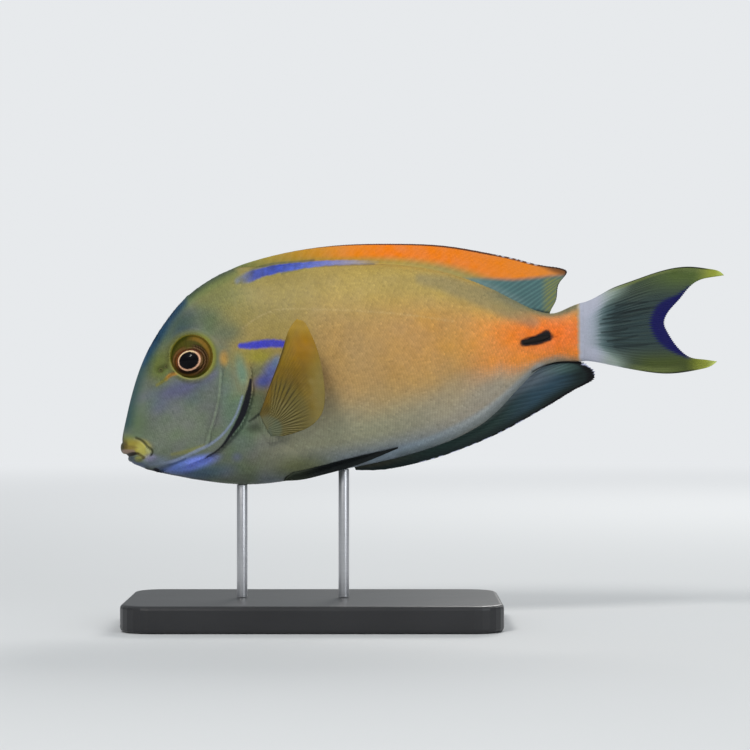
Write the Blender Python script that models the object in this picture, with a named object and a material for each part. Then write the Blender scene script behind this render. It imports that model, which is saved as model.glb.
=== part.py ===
# A surgeonfish, 181.5 mm long, swimming level on a small display stand.
#
# The flesh is one lofted form, parted at the gill opening and before the tail root.
# Sizes are in millimetres until they become meshes. In the fish's own frame x runs
# from the front of the upper lip to the tail tips and z up from the lowest point of
# the belly. The left side is -y.

import math

import bmesh
import bpy
import numpy as np
from mathutils import Matrix, Vector

MM = 0.001
GAP = 0.3
TOTAL_LENGTH = 181.5
BELLY_ABOVE_FLOOR = 42.0

# The cross-sections that the flesh is lofted through, from the mouth to the tail root.
# Each is a bowed ring: its top, its widest point and its keel as (x, z), its half
# width, and how sharply it bows forward above and below the widest point.
SECTIONS = (
    ((0.9, 10.9), (1.9, 9.3), (2.7, 8.1), 2.1, 1.2, 1.2),
    ((0.6, 12.9), (3.3, 9.3), (3.2, 6.8), 3.9, 1.2, 1.2),
    ((1.1, 16.8), (6.3, 9.3), (5.1, 5.6), 5.2, 1.3, 1.3),
    ((2.5, 23.1), (9.6, 10.2), (7.1, 4.8), 6.6, 1.4, 1.6),
    ((4.6, 30.9), (14.9, 14.7), (8.7, 4.3), 8.2, 1.5, 2.0),
    ((8.0, 39.6), (20.6, 19.8), (9.8, 4.0), 9.6, 1.5, 2.2),
    ((13.4, 48.5), (26.3, 23.7), (10.5, 3.8), 10.7, 1.4, 2.4),
    ((20.9, 57.0), (32.9, 26.4), (11.3, 3.6), 11.8, 1.4, 2.6),
    ((30.5, 63.2), (39.5, 28.2), (12.0, 3.4), 12.7, 1.4, 2.8),
    ((39.0, 65.0), (45.5, 30.3), (25.4, 1.0), 13.1, 1.5, 2.4),
    ((50.9, 65.7), (55.4, 32.7), (42.5, 0.1), 13.2, 1.7, 2.0),
    ((65.9, 66.1), (68.3, 35.1), (59.3, 2.9), 12.6, 2.0, 2.0),
    ((82.4, 65.7), (83.3, 37.2), (79.4, 7.1), 11.1, 2.0, 2.0),
    ((98.9, 63.0), (98.9, 39.9), (97.7, 12.6), 8.9, 2.0, 2.0),
    ((113.9, 57.2), (113.6, 42.0), (113.0, 21.9), 6.5, 2.0, 2.0),
    ((122.9, 52.7), (122.6, 43.2), (122.3, 31.8), 4.9, 2.0, 2.0),
    ((129.8, 51.2), (129.8, 44.0), (129.2, 36.3), 3.9, 2.0, 2.0),
    ((135.5, 53.4), (135.5, 45.0), (135.5, 36.8), 3.2, 2.0, 2.0),
    ((140.9, 55.2), (140.9, 45.9), (140.9, 36.7), 2.1, 2.0, 2.0),
)
GILL_SECTION = 8
TAIL_CUT_X = 116.0
FULLNESS = 2.1
SNOUT_POLE = (1.3, 0.0, 9.4)

# Rings and points per side of each lofted node
HEAD_RINGS = 21
TRUNK_RINGS = 20
PEDUNCLE_RINGS = 8
HALF_RING_POINTS = 18

# The gill cover is a plate let into the head. It runs back from the cheek to the gill
# opening, between two heights given as shares of the ring above and below its middle.
COVER_FRONT_SECTION = 6.9
COVER_TOP = 0.3
COVER_BOTTOM = -0.9
COVER_THICKNESS = 1.1
COVER_PROUD = 0.35
COVER_OVERHANG = 0.8
COVER_CLEARANCE = 0.03
RECESS_WALL = 0.25
HOLLOW_LENGTH = 5.0

# Eyes: centre as (x, z), the radius that shows, and the ball's own half sizes
EYE_CENTRE = (22.1, 38.2)
EYE_OPENING = 6.3
EYE_RADIUS = 7.0
EYE_BULGE = 3.9
EYE_SUNK = 2.2
EYE_TURN = 0.55
ORBIT_RIM = 0.75

# Lips: the mouth's corner and half width, then for each lip where its middle line lies in
# front and at the corner, its half height and its half thickness
MOUTH_CORNER_X = 8.7
MOUTH_HALF_WIDTH = 5.3
UPPER_LIP = {"front_x": 1.25, "front_z": 10.9, "corner_z": 9.9, "tall": 1.9, "thick": 1.25}
LOWER_LIP = {"front_x": 3.2, "front_z": 7.6, "corner_z": 8.3, "tall": 0.95, "thick": 0.9}
MOUTH_SLIT = {"back_x": 6.2, "z": 8.75, "tall": 0.5}
NOSTRILS = ((12.7, 34.1, 0.5), (14.4, 35.2, 0.45))
NOSTRIL_DEPTH = 1.2

# The blade in each side of the tail root, from its hidden point to its hinge
TAIL_SPINE_POINT = (120.2, 42.1)
TAIL_SPINE_HINGE = (129.6, 44.6)
TAIL_SPINE_TALL = 2.1
TAIL_SPINE_THICK = 1.5
TAIL_SPINE_SUNK = 0.35

# Median fins: outline points as (x, z), where each fin's base follows the flesh
DORSAL_BASE_X = (31.5, 128.6)
DORSAL_MARGIN = (
    (33.2, 64.7), (38.9, 66.6), (44.9, 68.3), (53.9, 70.2), (65.9, 71.7), (82.0, 72.1),
    (97.0, 71.5), (110.9, 69.2), (119.5, 67.4), (127.5, 65.5), (134.0, 63.4),
)
DORSAL_REAR = ((134.0, 63.4), (132.3, 61.2), (131.3, 59.4), (131.0, 57.0), (130.4, 54.5), (129.2, 52.9))
DORSAL_SPINES = 9
DORSAL_RAYS = 26
ANAL_BASE_X = (70.0, 125.3)
ANAL_MARGIN = (
    (70.6, 4.2), (77.9, 4.2), (86.9, 5.7), (95.9, 8.1), (104.9, 11.4), (113.9, 15.3),
    (122.9, 20.2), (131.9, 25.5), (138.9, 29.5), (142.6, 32.8),
)
ANAL_REAR = ((142.6, 32.8), (141.4, 34.7), (138.4, 35.6), (134.0, 36.1), (129.2, 35.4))
ANAL_SPINES = 3
ANAL_RAYS = 24
MEDIAN_FIN_ROWS = 5

# Tail fin: outer edge of each lobe, then its hollow hind margin to the fork
TAIL_ROOT_X = 141.2
TAIL_ROOT_HEIGHTS = (55.1, 45.9, 36.8)
TAIL_FORK = (163.3, 48.1)
TAIL_UPPER_EDGE = (
    (141.2, 55.1), (146.9, 58.4), (153.0, 60.8), (158.9, 62.9), (164.9, 64.6),
    (170.9, 65.2), (176.9, 64.5), (180.2, 63.6), (181.5, 62.6),
)
TAIL_UPPER_HIND = (
    (181.5, 62.6), (177.5, 62.1), (173.6, 61.1), (170.3, 58.5), (168.0, 55.6), (165.6, 53.0),
    (163.9, 50.6),
)
TAIL_LOWER_EDGE = (
    (141.2, 36.8), (146.9, 35.7), (152.9, 34.5), (158.9, 33.5), (164.0, 33.1),
    (169.0, 33.5), (173.9, 34.4), (177.5, 35.6), (179.0, 36.8),
)
TAIL_LOWER_HIND = (
    (179.0, 36.8), (174.8, 37.4), (171.2, 38.0), (168.8, 39.6), (166.0, 42.8), (164.2, 45.8),
)
TAIL_RAYS_PER_LOBE = 9
TAIL_ROWS = 9

# Paired fins, left side. The side outline as (x, z) turns into a fin that leans out.
PECTORAL_ROOT = ((42.6, 21.4), (44.1, 18.1), (46.0, 14.9))
PECTORAL_LEADING = ((42.6, 21.4), (45.3, 29.2), (47.6, 35.0), (49.7, 41.2), (52.0, 47.0), (53.7, 49.1))
PECTORAL_MARGIN = (
    (53.7, 49.1), (55.6, 48.6), (57.2, 46.3), (59.4, 41.2), (61.0, 35.0), (61.9, 26.7),
    (61.0, 21.6), (59.3, 19.2), (56.3, 17.0), (52.1, 15.5),
)
PECTORAL_LOWER = ((46.0, 14.9), (48.8, 14.7), (52.1, 15.5))
PECTORAL_RAYS = 16
PECTORAL_LEAN = 0.62
PECTORAL_CUP = 0.006
PECTORAL_ROWS = 5
PELVIC_ROOT = ((49.0, 1.1), (50.4, 2.4), (52.2, 3.5))
PELVIC_LOWER = ((49.0, 1.1), (54.2, 1.4), (60.0, 2.7), (66.0, 4.3), (72.0, 6.2), (78.0, 8.6), (83.3, 10.9))
PELVIC_UPPER = ((52.2, 3.5), (60.0, 5.5), (66.0, 7.1), (72.0, 8.6), (78.0, 10.0), (83.4, 11.4))
PELVIC_RAYS = 6
PELVIC_OUT = ((49.0, 3.3), (56.0, 4.1), (66.0, 4.9), (76.0, 5.7), (84.0, 6.4))
PELVIC_ROWS = 7
PELVIC_CLEARANCE = 0.3

# Fin make-up, as half thicknesses
MEMBRANE = 0.26
RAY = 0.46
SPINE_RAY = 0.55
FIN_EDGE = 0.14
ROOT_SHARE = 0.16

# Stand: a bevelled plate and two rods
BASE_SIZE = (112.0, 60.0, 8.0)
BASE_CENTRE_X = 58.0
BASE_CORNER = 9.0
BASE_BEVEL = 1.2
ROD_RADIUS = 1.6
ROD_X = (36.5, 67.0)
ROD_SIDES = 16
BELLY_TOP = 20.0

FLESH_OLIVE = (0.46, 0.36, 0.15)
HEAD_GREEN = (0.16, 0.22, 0.17)
TAIL_ORANGE = (0.75, 0.26, 0.06)
FIN_ORANGE = (0.85, 0.25, 0.03)
FIN_DARK = (0.03, 0.06, 0.06)
FIN_YELLOW = (0.28, 0.26, 0.05)
FIN_GOLD = (0.33, 0.19, 0.03)
BLADE_BLACK = (0.012, 0.01, 0.01)
EYE_DARK = (0.02, 0.012, 0.01)
STAND_BLACK = (0.02, 0.02, 0.022)
STEEL = (0.6, 0.6, 0.62)


def spline(knots, values):
    """A natural cubic spline through values at knots, as a function."""
    knots = np.asarray(knots, float)
    values = np.asarray(values, float)
    spans = np.diff(knots)
    count = len(knots)
    system = np.eye(count)
    right = np.zeros_like(values)
    for i in range(1, count - 1):
        system[i, i - 1 : i + 2] = spans[i - 1], 2 * (spans[i - 1] + spans[i]), spans[i]
        slope_after = (values[i + 1] - values[i]) / spans[i]
        slope_before = (values[i] - values[i - 1]) / spans[i - 1]
        right[i] = 6 * (slope_after - slope_before)
    bends = np.linalg.solve(system, right)

    def at(place):
        place = np.asarray(place, float)
        i = np.clip(np.searchsorted(knots, place) - 1, 0, count - 2)
        span = spans[i]
        before = (knots[i + 1] - place) / span
        after = 1 - before
        if values.ndim > 1:
            before, after, span = before[..., None], after[..., None], span[..., None]
        bend = (before**3 - before) * bends[i] + (after**3 - after) * bends[i + 1]
        return before * values[i] + after * values[i + 1] + bend * span**2 / 6

    return at


def curve_through(points):
    """A smooth curve through points, as a function of the share of its length."""
    points = np.asarray(points, float)
    steps = np.linalg.norm(np.diff(points, axis=0), axis=1)
    along = np.concatenate([[0.0], np.cumsum(steps)])
    return spline(along / along[-1], points)


def section_rails():
    """Where each section lies along the fish, and the rails through all of them."""
    rows = np.array([(*top, *side, *keel, width) for top, side, keel, width, _, _ in SECTIONS])
    moves = np.diff(rows[:, :6], axis=0).reshape(-1, 3, 2)
    places = np.concatenate([[0.0], np.cumsum(np.linalg.norm(moves, axis=2).mean(axis=1))])
    bows = np.array([(above, below) for *_, above, below in SECTIONS])
    return places, spline(places, rows), bows


PLACES, RAILS, BOWS = section_rails()


def place_of_section(number):
    return float(np.interp(number, range(len(PLACES)), PLACES))


def flesh(place, turn):
    """Points of the flesh. turn is 0 at the back, pi/2 at the left side, pi at the keel."""
    place, turn = np.broadcast_arrays(np.asarray(place, float), np.asarray(turn, float))
    row = RAILS(place)
    height = np.cos(turn)
    share = np.abs(height)
    above = height >= 0
    end_x = np.where(above, row[..., 0], row[..., 4])
    end_z = np.where(above, row[..., 1], row[..., 5])
    bow = np.where(
        above, np.interp(place, PLACES, BOWS[:, 0]), np.interp(place, PLACES, BOWS[:, 1])
    )
    x = row[..., 2] + (end_x - row[..., 2]) * share**bow
    z = row[..., 3] + (end_z - row[..., 3]) * share
    y = -np.sign(np.sin(turn)) * row[..., 6] * np.sqrt(np.clip(1 - share**FULLNESS, 0, 1))
    y = np.where(np.abs(np.sin(turn)) < 1e-6, 0.0, y)
    return np.stack([x, y, z], axis=-1)


def widened(points, extra):
    """Moves points sideways, away from the middle plane, by extra."""
    moved = points.copy()
    moved[..., 1] += np.sign(points[..., 1]) * extra
    return moved


LEFT_SIDE = flesh(
    *np.meshgrid(np.linspace(PLACES[0], PLACES[-1], 600), np.linspace(0, math.pi, 300), indexing="ij")
).reshape(-1, 3)


def flesh_side_at(x, z):
    """Half width of the flesh where a line across the fish at (x, z) meets it."""
    away = (LEFT_SIDE[:, 0] - x) ** 2 + (LEFT_SIDE[:, 2] - z) ** 2
    nearest = np.argpartition(away, 4)[:4]
    weight = 1 / (away[nearest] + 1e-9)
    return float(np.sum(-LEFT_SIDE[nearest, 1] * weight) / np.sum(weight))


def edge_height(x, rail):
    """Height of the back (rail 0) or of the keel (rail 4) at x."""
    places = np.linspace(PLACES[0], PLACES[-1], 1200)
    row = RAILS(places)
    return float(np.interp(x, row[:, rail], row[:, rail + 1]))


def material(name, colour, roughness=0.45, metallic=0.0):
    made = bpy.data.materials.new(name)
    made.use_nodes = True
    shader = made.node_tree.nodes["Principled BSDF"]
    shader.inputs["Base Color"].default_value = (*colour, 1.0)
    shader.inputs["Roughness"].default_value = roughness
    shader.inputs["Metallic"].default_value = metallic
    return made


def add_object(name, points, faces, made_of=None, parent=None, smooth=True):
    """A mesh object from points in millimetres, with its faces turned outwards."""
    mesh = bpy.data.meshes.new(name)
    mesh.from_pydata([Vector(p) * MM for p in points], [], faces)
    shell = bmesh.new()
    shell.from_mesh(mesh)
    bmesh.ops.remove_doubles(shell, verts=shell.verts, dist=1e-7)
    bmesh.ops.recalc_face_normals(shell, faces=shell.faces)
    if shell.calc_volume(signed=True) < 0:
        bmesh.ops.reverse_faces(shell, faces=shell.faces)
    shell.to_mesh(mesh)
    shell.free()
    if smooth:
        mesh.shade_smooth()
        mesh.set_sharp_from_angle(angle=math.radians(40))
    made = bpy.data.objects.new(name, mesh)
    bpy.context.scene.collection.objects.link(made)
    if made_of:
        mesh.materials.append(made_of)
    made.parent = parent
    return made


def as_helper(made):
    made.hide_render = True
    made.display_type = "WIRE"
    return made


def apply_boolean(target, pieces, operation):
    """Joins or cuts target with a collection of closed pieces, then removes them."""
    group = bpy.data.collections.new(target.name + "_pieces")
    for piece in pieces:
        piece.parent = target.parent
        group.objects.link(as_helper(piece))
    modifier = target.modifiers.new(operation.title(), "BOOLEAN")
    modifier.operation = operation
    modifier.operand_type = "COLLECTION"
    modifier.collection = group
    modifier.solver = "EXACT"
    bpy.context.view_layer.update()
    graph = bpy.context.evaluated_depsgraph_get()
    joined = bpy.data.meshes.new_from_object(target.evaluated_get(graph))
    target.modifiers.clear()
    target.data = joined
    for piece in pieces:
        bpy.data.objects.remove(piece)
    bpy.data.collections.remove(group)


def ring_turns(extra=()):
    """Turns around one side of a ring, from the back to the keel."""
    even = np.linspace(0.0, math.pi, HALF_RING_POINTS + 1)
    kept = [t for t in even if all(abs(t - e) > 0.06 for e in extra)]
    return np.array(sorted([*kept, *extra]))


def loft_flesh(places, turns, lift):
    """Rings of the flesh, each a whole loop: down the left side and up the right."""
    whole = np.concatenate([turns, 2 * math.pi - turns[-2:0:-1]])
    where, around = np.meshgrid(places, whole, indexing="ij")
    return widened(flesh(where, around), lift(where, around))


def loft_object(name, rings, made_of, parent, pole=None):
    """One closed body from rings, with ruled ends or a pole in front."""
    count, size = rings.shape[:2]
    points = rings.reshape(-1, 3).tolist()
    faces = []
    for i in range(count - 1):
        for j in range(size):
            k = (j + 1) % size
            faces.append((i * size + j, i * size + k, (i + 1) * size + k, (i + 1) * size + j))
    ends = [(count - 1) * size]
    if pole is None:
        ends.append(0)
    else:
        points.append(pole)
        faces += [(j, (j + 1) % size, len(points) - 1) for j in range(size)]
    half = size // 2
    for first in ends:
        for j in range(half):
            mirrored = (first + (size - j - 1) % size, first + (size - j) % size)
            faces.append(tuple(dict.fromkeys((first + j, first + j + 1, *mirrored))))
    return add_object(name, points, faces, made_of, parent)


def ramp(value, start, end):
    """0 before start, 1 past end, smooth between."""
    share = np.clip((value - start) / (end - start), 0, 1)
    return share * share * (3 - 2 * share)


def in_cover_band(turn):
    """1 between the gill cover's top and bottom, with its clearance, else 0."""
    top, bottom = math.acos(COVER_TOP) - COVER_CLEARANCE, math.acos(COVER_BOTTOM) + COVER_CLEARANCE
    side = np.where(turn > math.pi, 2 * math.pi - turn, turn)
    return ramp(side, top - 0.02, top) * (1 - ramp(side, bottom, bottom + 0.02))


def head_places():
    """Where the head's rings lie, with two at the front wall of the gill cover's recess."""
    gill = place_of_section(GILL_SECTION)
    front = place_of_section(COVER_FRONT_SECTION)
    even = gill * np.linspace(0.0, 1.0, HEAD_RINGS) ** 1.25
    kept = [place for place in even if abs(place - front) > 0.8]
    return np.array(sorted([*kept, front - GAP - RECESS_WALL, front - GAP]))


def cover_turns():
    """Turns around a ring with two at each edge of the gill cover's recess."""
    top, bottom = math.acos(COVER_TOP) - COVER_CLEARANCE, math.acos(COVER_BOTTOM) + COVER_CLEARANCE
    return ring_turns((top - 0.02, top, bottom, bottom + 0.02))


def build_head(skin, parent):
    """The head in front of the gill opening, with a recess for each gill cover."""
    front = place_of_section(COVER_FRONT_SECTION)
    depth = COVER_THICKNESS + GAP - COVER_PROUD

    def lift(place, turn):
        fore = ramp(place, front - GAP - RECESS_WALL, front - GAP)
        return -depth * fore * in_cover_band(turn)

    rings = loft_flesh(head_places(), cover_turns(), lift)
    head = loft_object("head", rings, skin, parent, pole=SNOUT_POLE)
    rims = [orbit_rim(side) for side in (-1, 1)]
    lips = [lip(**UPPER_LIP), lip(**LOWER_LIP)]
    apply_boolean(head, rims + lips, "UNION")
    cutters = [eye_ball(f"socket_{side}", side, GAP) for side in (-1, 1)]
    cutters += [nostril(side, *hole) for side in (-1, 1) for hole in NOSTRILS]
    cutters.append(mouth_slit())
    apply_boolean(head, cutters, "DIFFERENCE")
    return head


def build_gill_cover(side, skin, parent):
    """A plate that fills the head's recess and stands a little past the gill opening."""
    gill = place_of_section(GILL_SECTION)
    front = place_of_section(COVER_FRONT_SECTION)
    top, bottom = math.acos(COVER_TOP), math.acos(COVER_BOTTOM)
    behind = [place for place in head_places() if place > front + 0.5]
    places = np.array([front, *behind, gill + COVER_OVERHANG])
    within = [turn for turn in cover_turns() if top + 0.05 < turn < bottom - 0.05]
    turns = np.array([top, *within, bottom])
    where, around = np.meshgrid(places, turns, indexing="ij")
    proud = COVER_PROUD * ramp(where, places[0] - 1.0, places[-1])
    edge = ramp(where, places[-2], places[-1]) * 0.35
    outer = widened(flesh(where, around), proud - edge)
    inner = widened(flesh(where, around), COVER_PROUD - COVER_THICKNESS + edge)
    points, faces = slab(outer, inner)
    points[:, 1] *= -side
    name = "gill_cover_left" if side < 0 else "gill_cover_right"
    return add_object(name, points, faces, skin, parent)


def slab(front, back):
    """Points and triangles of a closed sheet between two grids, split alike on both."""
    columns, rows = front.shape[:2]
    points = np.concatenate([front.reshape(-1, 3), back.reshape(-1, 3)])
    half = columns * rows
    faces = []
    for i in range(columns - 1):
        for j in range(rows - 1):
            a, b = i * rows + j, (i + 1) * rows + j
            c, d = b + 1, a + 1
            faces += [(a, b, c), (a, c, d)]
            faces += [(c + half, b + half, a + half), (d + half, c + half, a + half)]
    border = [i * rows for i in range(columns)]
    border += [(columns - 1) * rows + j for j in range(1, rows)]
    border += [i * rows + rows - 1 for i in range(columns - 2, -1, -1)]
    border += list(range(rows - 2, 0, -1))
    for here, there in zip(border, border[1:] + border[:1]):
        faces += [(here, here + half, there + half), (here, there + half, there)]
    return points, faces


def eye_pose(side):
    """Centre of an eyeball and the direction it faces, between sideways and the skin's normal."""
    x, z = EYE_CENTRE
    half_width = flesh_side_at(x, z)
    reach = 1.5
    slope_x = (flesh_side_at(x + reach, z) - flesh_side_at(x - reach, z)) / (2 * reach)
    slope_z = (flesh_side_at(x, z + reach) - flesh_side_at(x, z - reach)) / (2 * reach)
    facing = Vector((-slope_x * EYE_TURN, side, -slope_z * EYE_TURN)).normalized()
    return Vector((x, side * half_width, z)) - facing * EYE_SUNK, facing


def placed(made, centre, facing):
    """Turns a helper's local z to facing and moves it to centre, in its mesh."""
    turn = facing.to_track_quat("Z", "Y").to_matrix().to_4x4()
    made.data.transform(Matrix.Translation(centre * MM) @ turn)
    return made


def eye_ball(name, side, grow, made_of=None, parent=None):
    centre, facing = eye_pose(side)
    ball = bmesh.new()
    bmesh.ops.create_uvsphere(ball, u_segments=20, v_segments=10, radius=MM)
    size = (EYE_RADIUS + grow, EYE_RADIUS + grow, EYE_BULGE + grow)
    bmesh.ops.scale(ball, vec=size, verts=ball.verts)
    mesh = bpy.data.meshes.new(name)
    ball.to_mesh(mesh)
    ball.free()
    mesh.shade_smooth()
    made = bpy.data.objects.new(name, mesh)
    bpy.context.scene.collection.objects.link(made)
    if made_of:
        mesh.materials.append(made_of)
    made.parent = parent
    return placed(made, centre, facing)


def orbit_rim(side):
    """The raised ring of skin around an eye."""
    centre, facing = eye_pose(side)
    count, sides = 28, 8
    around = np.linspace(0, 2 * math.pi, count, endpoint=False)[:, None]
    over = np.linspace(0, 2 * math.pi, sides, endpoint=False)[None, :]
    reach = EYE_OPENING + ORBIT_RIM * 0.8 + ORBIT_RIM * np.cos(over)
    lift = EYE_SUNK - 0.35 + ORBIT_RIM * 0.9 * np.sin(over) + 0 * around
    points = np.stack([reach * np.cos(around), reach * np.sin(around), lift], axis=-1).reshape(-1, 3)
    faces = []
    for i in range(count):
        for j in range(sides):
            k, m = (i + 1) % count, (j + 1) % sides
            faces.append((i * sides + j, k * sides + j, k * sides + m, i * sides + m))
    return placed(add_object(f"rim_{side}", points, faces), centre, facing)


def lip(front_x, front_z, corner_z, tall, thick):
    """A roll of lip bent round the front of the mouth, thinner at the corners."""
    steps, sides = 15, 10
    bend = np.linspace(-math.pi / 2, math.pi / 2, steps)
    thin = 1 - 0.5 * np.abs(np.sin(bend)) ** 4
    centre = np.stack(
        [
            MOUTH_CORNER_X - (MOUTH_CORNER_X - front_x) * np.cos(bend),
            MOUTH_HALF_WIDTH * np.sin(bend),
            front_z + (corner_z - front_z) * (1 - np.cos(bend)),
        ],
        axis=1,
    )
    out = np.stack([-np.cos(bend), np.sin(bend), 0 * bend], axis=1)
    over = np.linspace(0, 2 * math.pi, sides, endpoint=False)
    rolls = (
        centre[:, None]
        + out[:, None] * (thick * thin[:, None] * np.cos(over))[..., None]
        + np.array([0, 0, 1.0]) * (tall * thin[:, None] * np.sin(over))[..., None]
    )
    points = rolls.reshape(-1, 3)
    faces = [tuple(range(sides)), tuple(range((steps - 1) * sides, steps * sides))]
    for i in range(steps - 1):
        for j in range(sides):
            k = (j + 1) % sides
            faces.append((i * sides + j, i * sides + k, (i + 1) * sides + k, (i + 1) * sides + j))
    return add_object("lip", points, faces)


def box_points(low, high):
    return [(x, y, z) for x in (low[0], high[0]) for y in (low[1], high[1]) for z in (low[2], high[2])]


BOX_FACES = [(0, 1, 3, 2), (4, 5, 7, 6), (0, 1, 5, 4), (2, 3, 7, 6), (0, 2, 6, 4), (1, 3, 7, 5)]


def mouth_slit():
    half = MOUTH_SLIT["tall"] / 2
    low = (-3.0, -9.0, MOUTH_SLIT["z"] - half)
    high = (MOUTH_SLIT["back_x"], 9.0, MOUTH_SLIT["z"] + half)
    return add_object("mouth_slit", box_points(low, high), BOX_FACES, smooth=False)


def nostril(side, x, z, radius):
    """A short round pin that cuts one nostril."""
    half_width = flesh_side_at(x, z)
    pin = bmesh.new()
    bmesh.ops.create_cone(
        pin, cap_ends=True, segments=10, radius1=radius * 0.7 * MM, radius2=radius * MM,
        depth=2 * NOSTRIL_DEPTH * MM,
    )
    mesh = bpy.data.meshes.new("nostril")
    pin.to_mesh(mesh)
    pin.free()
    made = bpy.data.objects.new("nostril", mesh)
    bpy.context.scene.collection.objects.link(made)
    return placed(made, Vector((x, side * half_width, z)), Vector((0, side, 0)))


def build_trunk(skin, parent):
    """The trunk, hollowed a little where the gill covers reach over it."""
    gill = place_of_section(GILL_SECTION)
    start, end = gill + GAP, tail_cut_place() - GAP / 2

    def lift(place, turn):
        fade = 1 - ramp(place, gill, gill + HOLLOW_LENGTH)
        return -(COVER_THICKNESS + 0.5) * fade * in_cover_band(turn)

    places = start + (end - start) * np.linspace(0, 1, TRUNK_RINGS) ** 1.15
    rings = loft_flesh(places, cover_turns(), lift)
    return loft_object("trunk", rings, skin, parent)


def tail_cut_place():
    places = np.linspace(PLACES[0], PLACES[-1], 1200)
    return float(np.interp(TAIL_CUT_X, RAILS(places)[:, 2], places))


def build_peduncle(skin, parent):
    """The tail root, with a groove in each side for its blade."""
    places = np.linspace(tail_cut_place() + GAP / 2, PLACES[-1], PEDUNCLE_RINGS)
    rings = loft_flesh(places, ring_turns(), lambda place, turn: 0.0 * place)
    root = loft_object("tail_root", rings, skin, parent)
    apply_boolean(root, [blade(f"groove_{side}", side, GAP) for side in (-1, 1)], "DIFFERENCE")
    return root


def blade(name, side, grow, made_of=None, parent=None):
    """The folded blade: a lens that comes to a point in front and is blunt at its hinge."""
    point, hinge = np.array(TAIL_SPINE_POINT), np.array(TAIL_SPINE_HINGE)
    steps, sides = 9, 10
    share = np.linspace(0.0, 1.0, steps)
    width = np.sqrt(np.clip(1 - (2 * share - 1) ** 2, 0, 1)) * (0.75 + 0.25 * share)
    spine = point + (hinge - point) * share[:, None]
    stretch = (hinge - point) / np.linalg.norm(hinge - point)
    depths = [flesh_side_at(*place) - TAIL_SPINE_SUNK for place in spine]
    over = np.linspace(0, 2 * math.pi, sides, endpoint=False)
    points = []
    for i in range(1, steps - 1):
        tall = TAIL_SPINE_TALL / 2 * width[i] + grow
        thick = TAIL_SPINE_THICK / 2 * width[i] + grow
        for angle in over:
            across = tall * math.cos(angle)
            points.append(
                (
                    spine[i][0] - stretch[1] * across,
                    side * (depths[i] + thick * math.sin(angle)),
                    spine[i][1] + stretch[0] * across,
                )
            )
    tips = ((spine[0] - stretch * grow, depths[0]), (spine[-1] + stretch * grow, depths[-1]))
    points += [(place[0], side * depth, place[1]) for place, depth in tips]
    last = (steps - 3) * sides
    faces = []
    for j in range(sides):
        k = (j + 1) % sides
        faces += [(j, k, len(points) - 2), (last + k, last + j, len(points) - 1)]
        for i in range(steps - 3):
            faces.append((i * sides + j, (i + 1) * sides + j, (i + 1) * sides + k, i * sides + k))
    return add_object(name, points, faces, made_of, parent)


def fin_grid(root, margin, front, rear, shares, rows):
    """A fin's middle surface between its four edges, as a Coons patch."""
    down = np.linspace(0.0, 1.0, rows)
    s, v = np.meshgrid(shares, down, indexing="ij")
    s, v = s[..., None], v[..., None]
    bottom, top = root(shares)[:, None], margin(shares)[:, None]
    first, last = front(down)[None], rear(down)[None]
    corners = (1 - s) * (1 - v) * root(0.0) + s * (1 - v) * root(1.0)
    corners = corners + (1 - s) * v * margin(0.0) + s * v * margin(1.0)
    return (1 - v) * bottom + v * top + (1 - s) * first + s * last - corners


def ray_columns(counts, notch):
    """Shares across a fin: a crest for each ray with a foot at each side of it.
    Returns the shares, which are crests, and how far out each column reaches."""
    spines, soft = counts
    total = spines + soft
    centres = (np.arange(total) + 0.5) / total
    foot = 0.27 / total
    shares = np.sort(np.concatenate([centres, centres - foot, centres + foot, [0.0, 1.0]]))
    crest = np.isin(shares, centres)
    spiny = shares < spines / total
    reach = np.where(crest, 1.0, 1.0 - np.where(spiny, notch, notch * 0.4))
    return shares, crest, spiny, reach


def fin_object(
    name, edges, counts, rows, root_half, made_of, parent,
    notch=0.05, wave=None, mirror=False, hugging=None,
):
    """A closed fin with its rays raised on both faces of the membrane.
    A hugging fin keeps that far off the flesh beside it."""
    root, margin, front, rear = edges
    shares, crest, spiny, reach = ray_columns(counts, notch)
    middle = fin_grid(root, margin, front, rear, shares, rows)
    down = np.linspace(0.0, 1.0, rows)
    middle[:, 1:] = middle[:, :1] + (middle[:, 1:] - middle[:, :1]) * reach[:, None, None]
    if wave:
        middle[..., 1] += wave(shares[:, None], down[None])
    across = np.gradient(middle, axis=0)
    along = np.gradient(middle, axis=1)
    normal = np.cross(across, along)
    normal /= np.linalg.norm(normal, axis=-1, keepdims=True)
    crest_half = np.where(spiny, SPINE_RAY, RAY)[:, None] * (1 - 0.5 * down[None])
    half = np.where(crest[:, None], crest_half, MEMBRANE * (1 - 0.1 * down[None]))
    fade = np.clip(1 - down / ROOT_SHARE, 0, 1)[None] ** 1.5
    half = half + (np.maximum(root_half(shares)[:, None] - half, 0)) * fade
    half[:, -1] = np.where(crest, FIN_EDGE * 1.3, FIN_EDGE)
    if hugging is not None:
        sides = [flesh_side_at(x, z) for x, _, z in middle.reshape(-1, 3)]
        middle[..., 1] = np.minimum(middle[..., 1], -np.reshape(sides, half.shape) - half - hugging)
    points, faces = slab(middle + normal * half[..., None], middle - normal * half[..., None])
    if mirror:
        points[:, 1] *= -1
    return add_object(name, points, faces, made_of, parent)


def flat(points):
    """A curve in the middle plane through (x, z) points."""
    return curve_through([(x, 0.0, z) for x, z in points])


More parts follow.
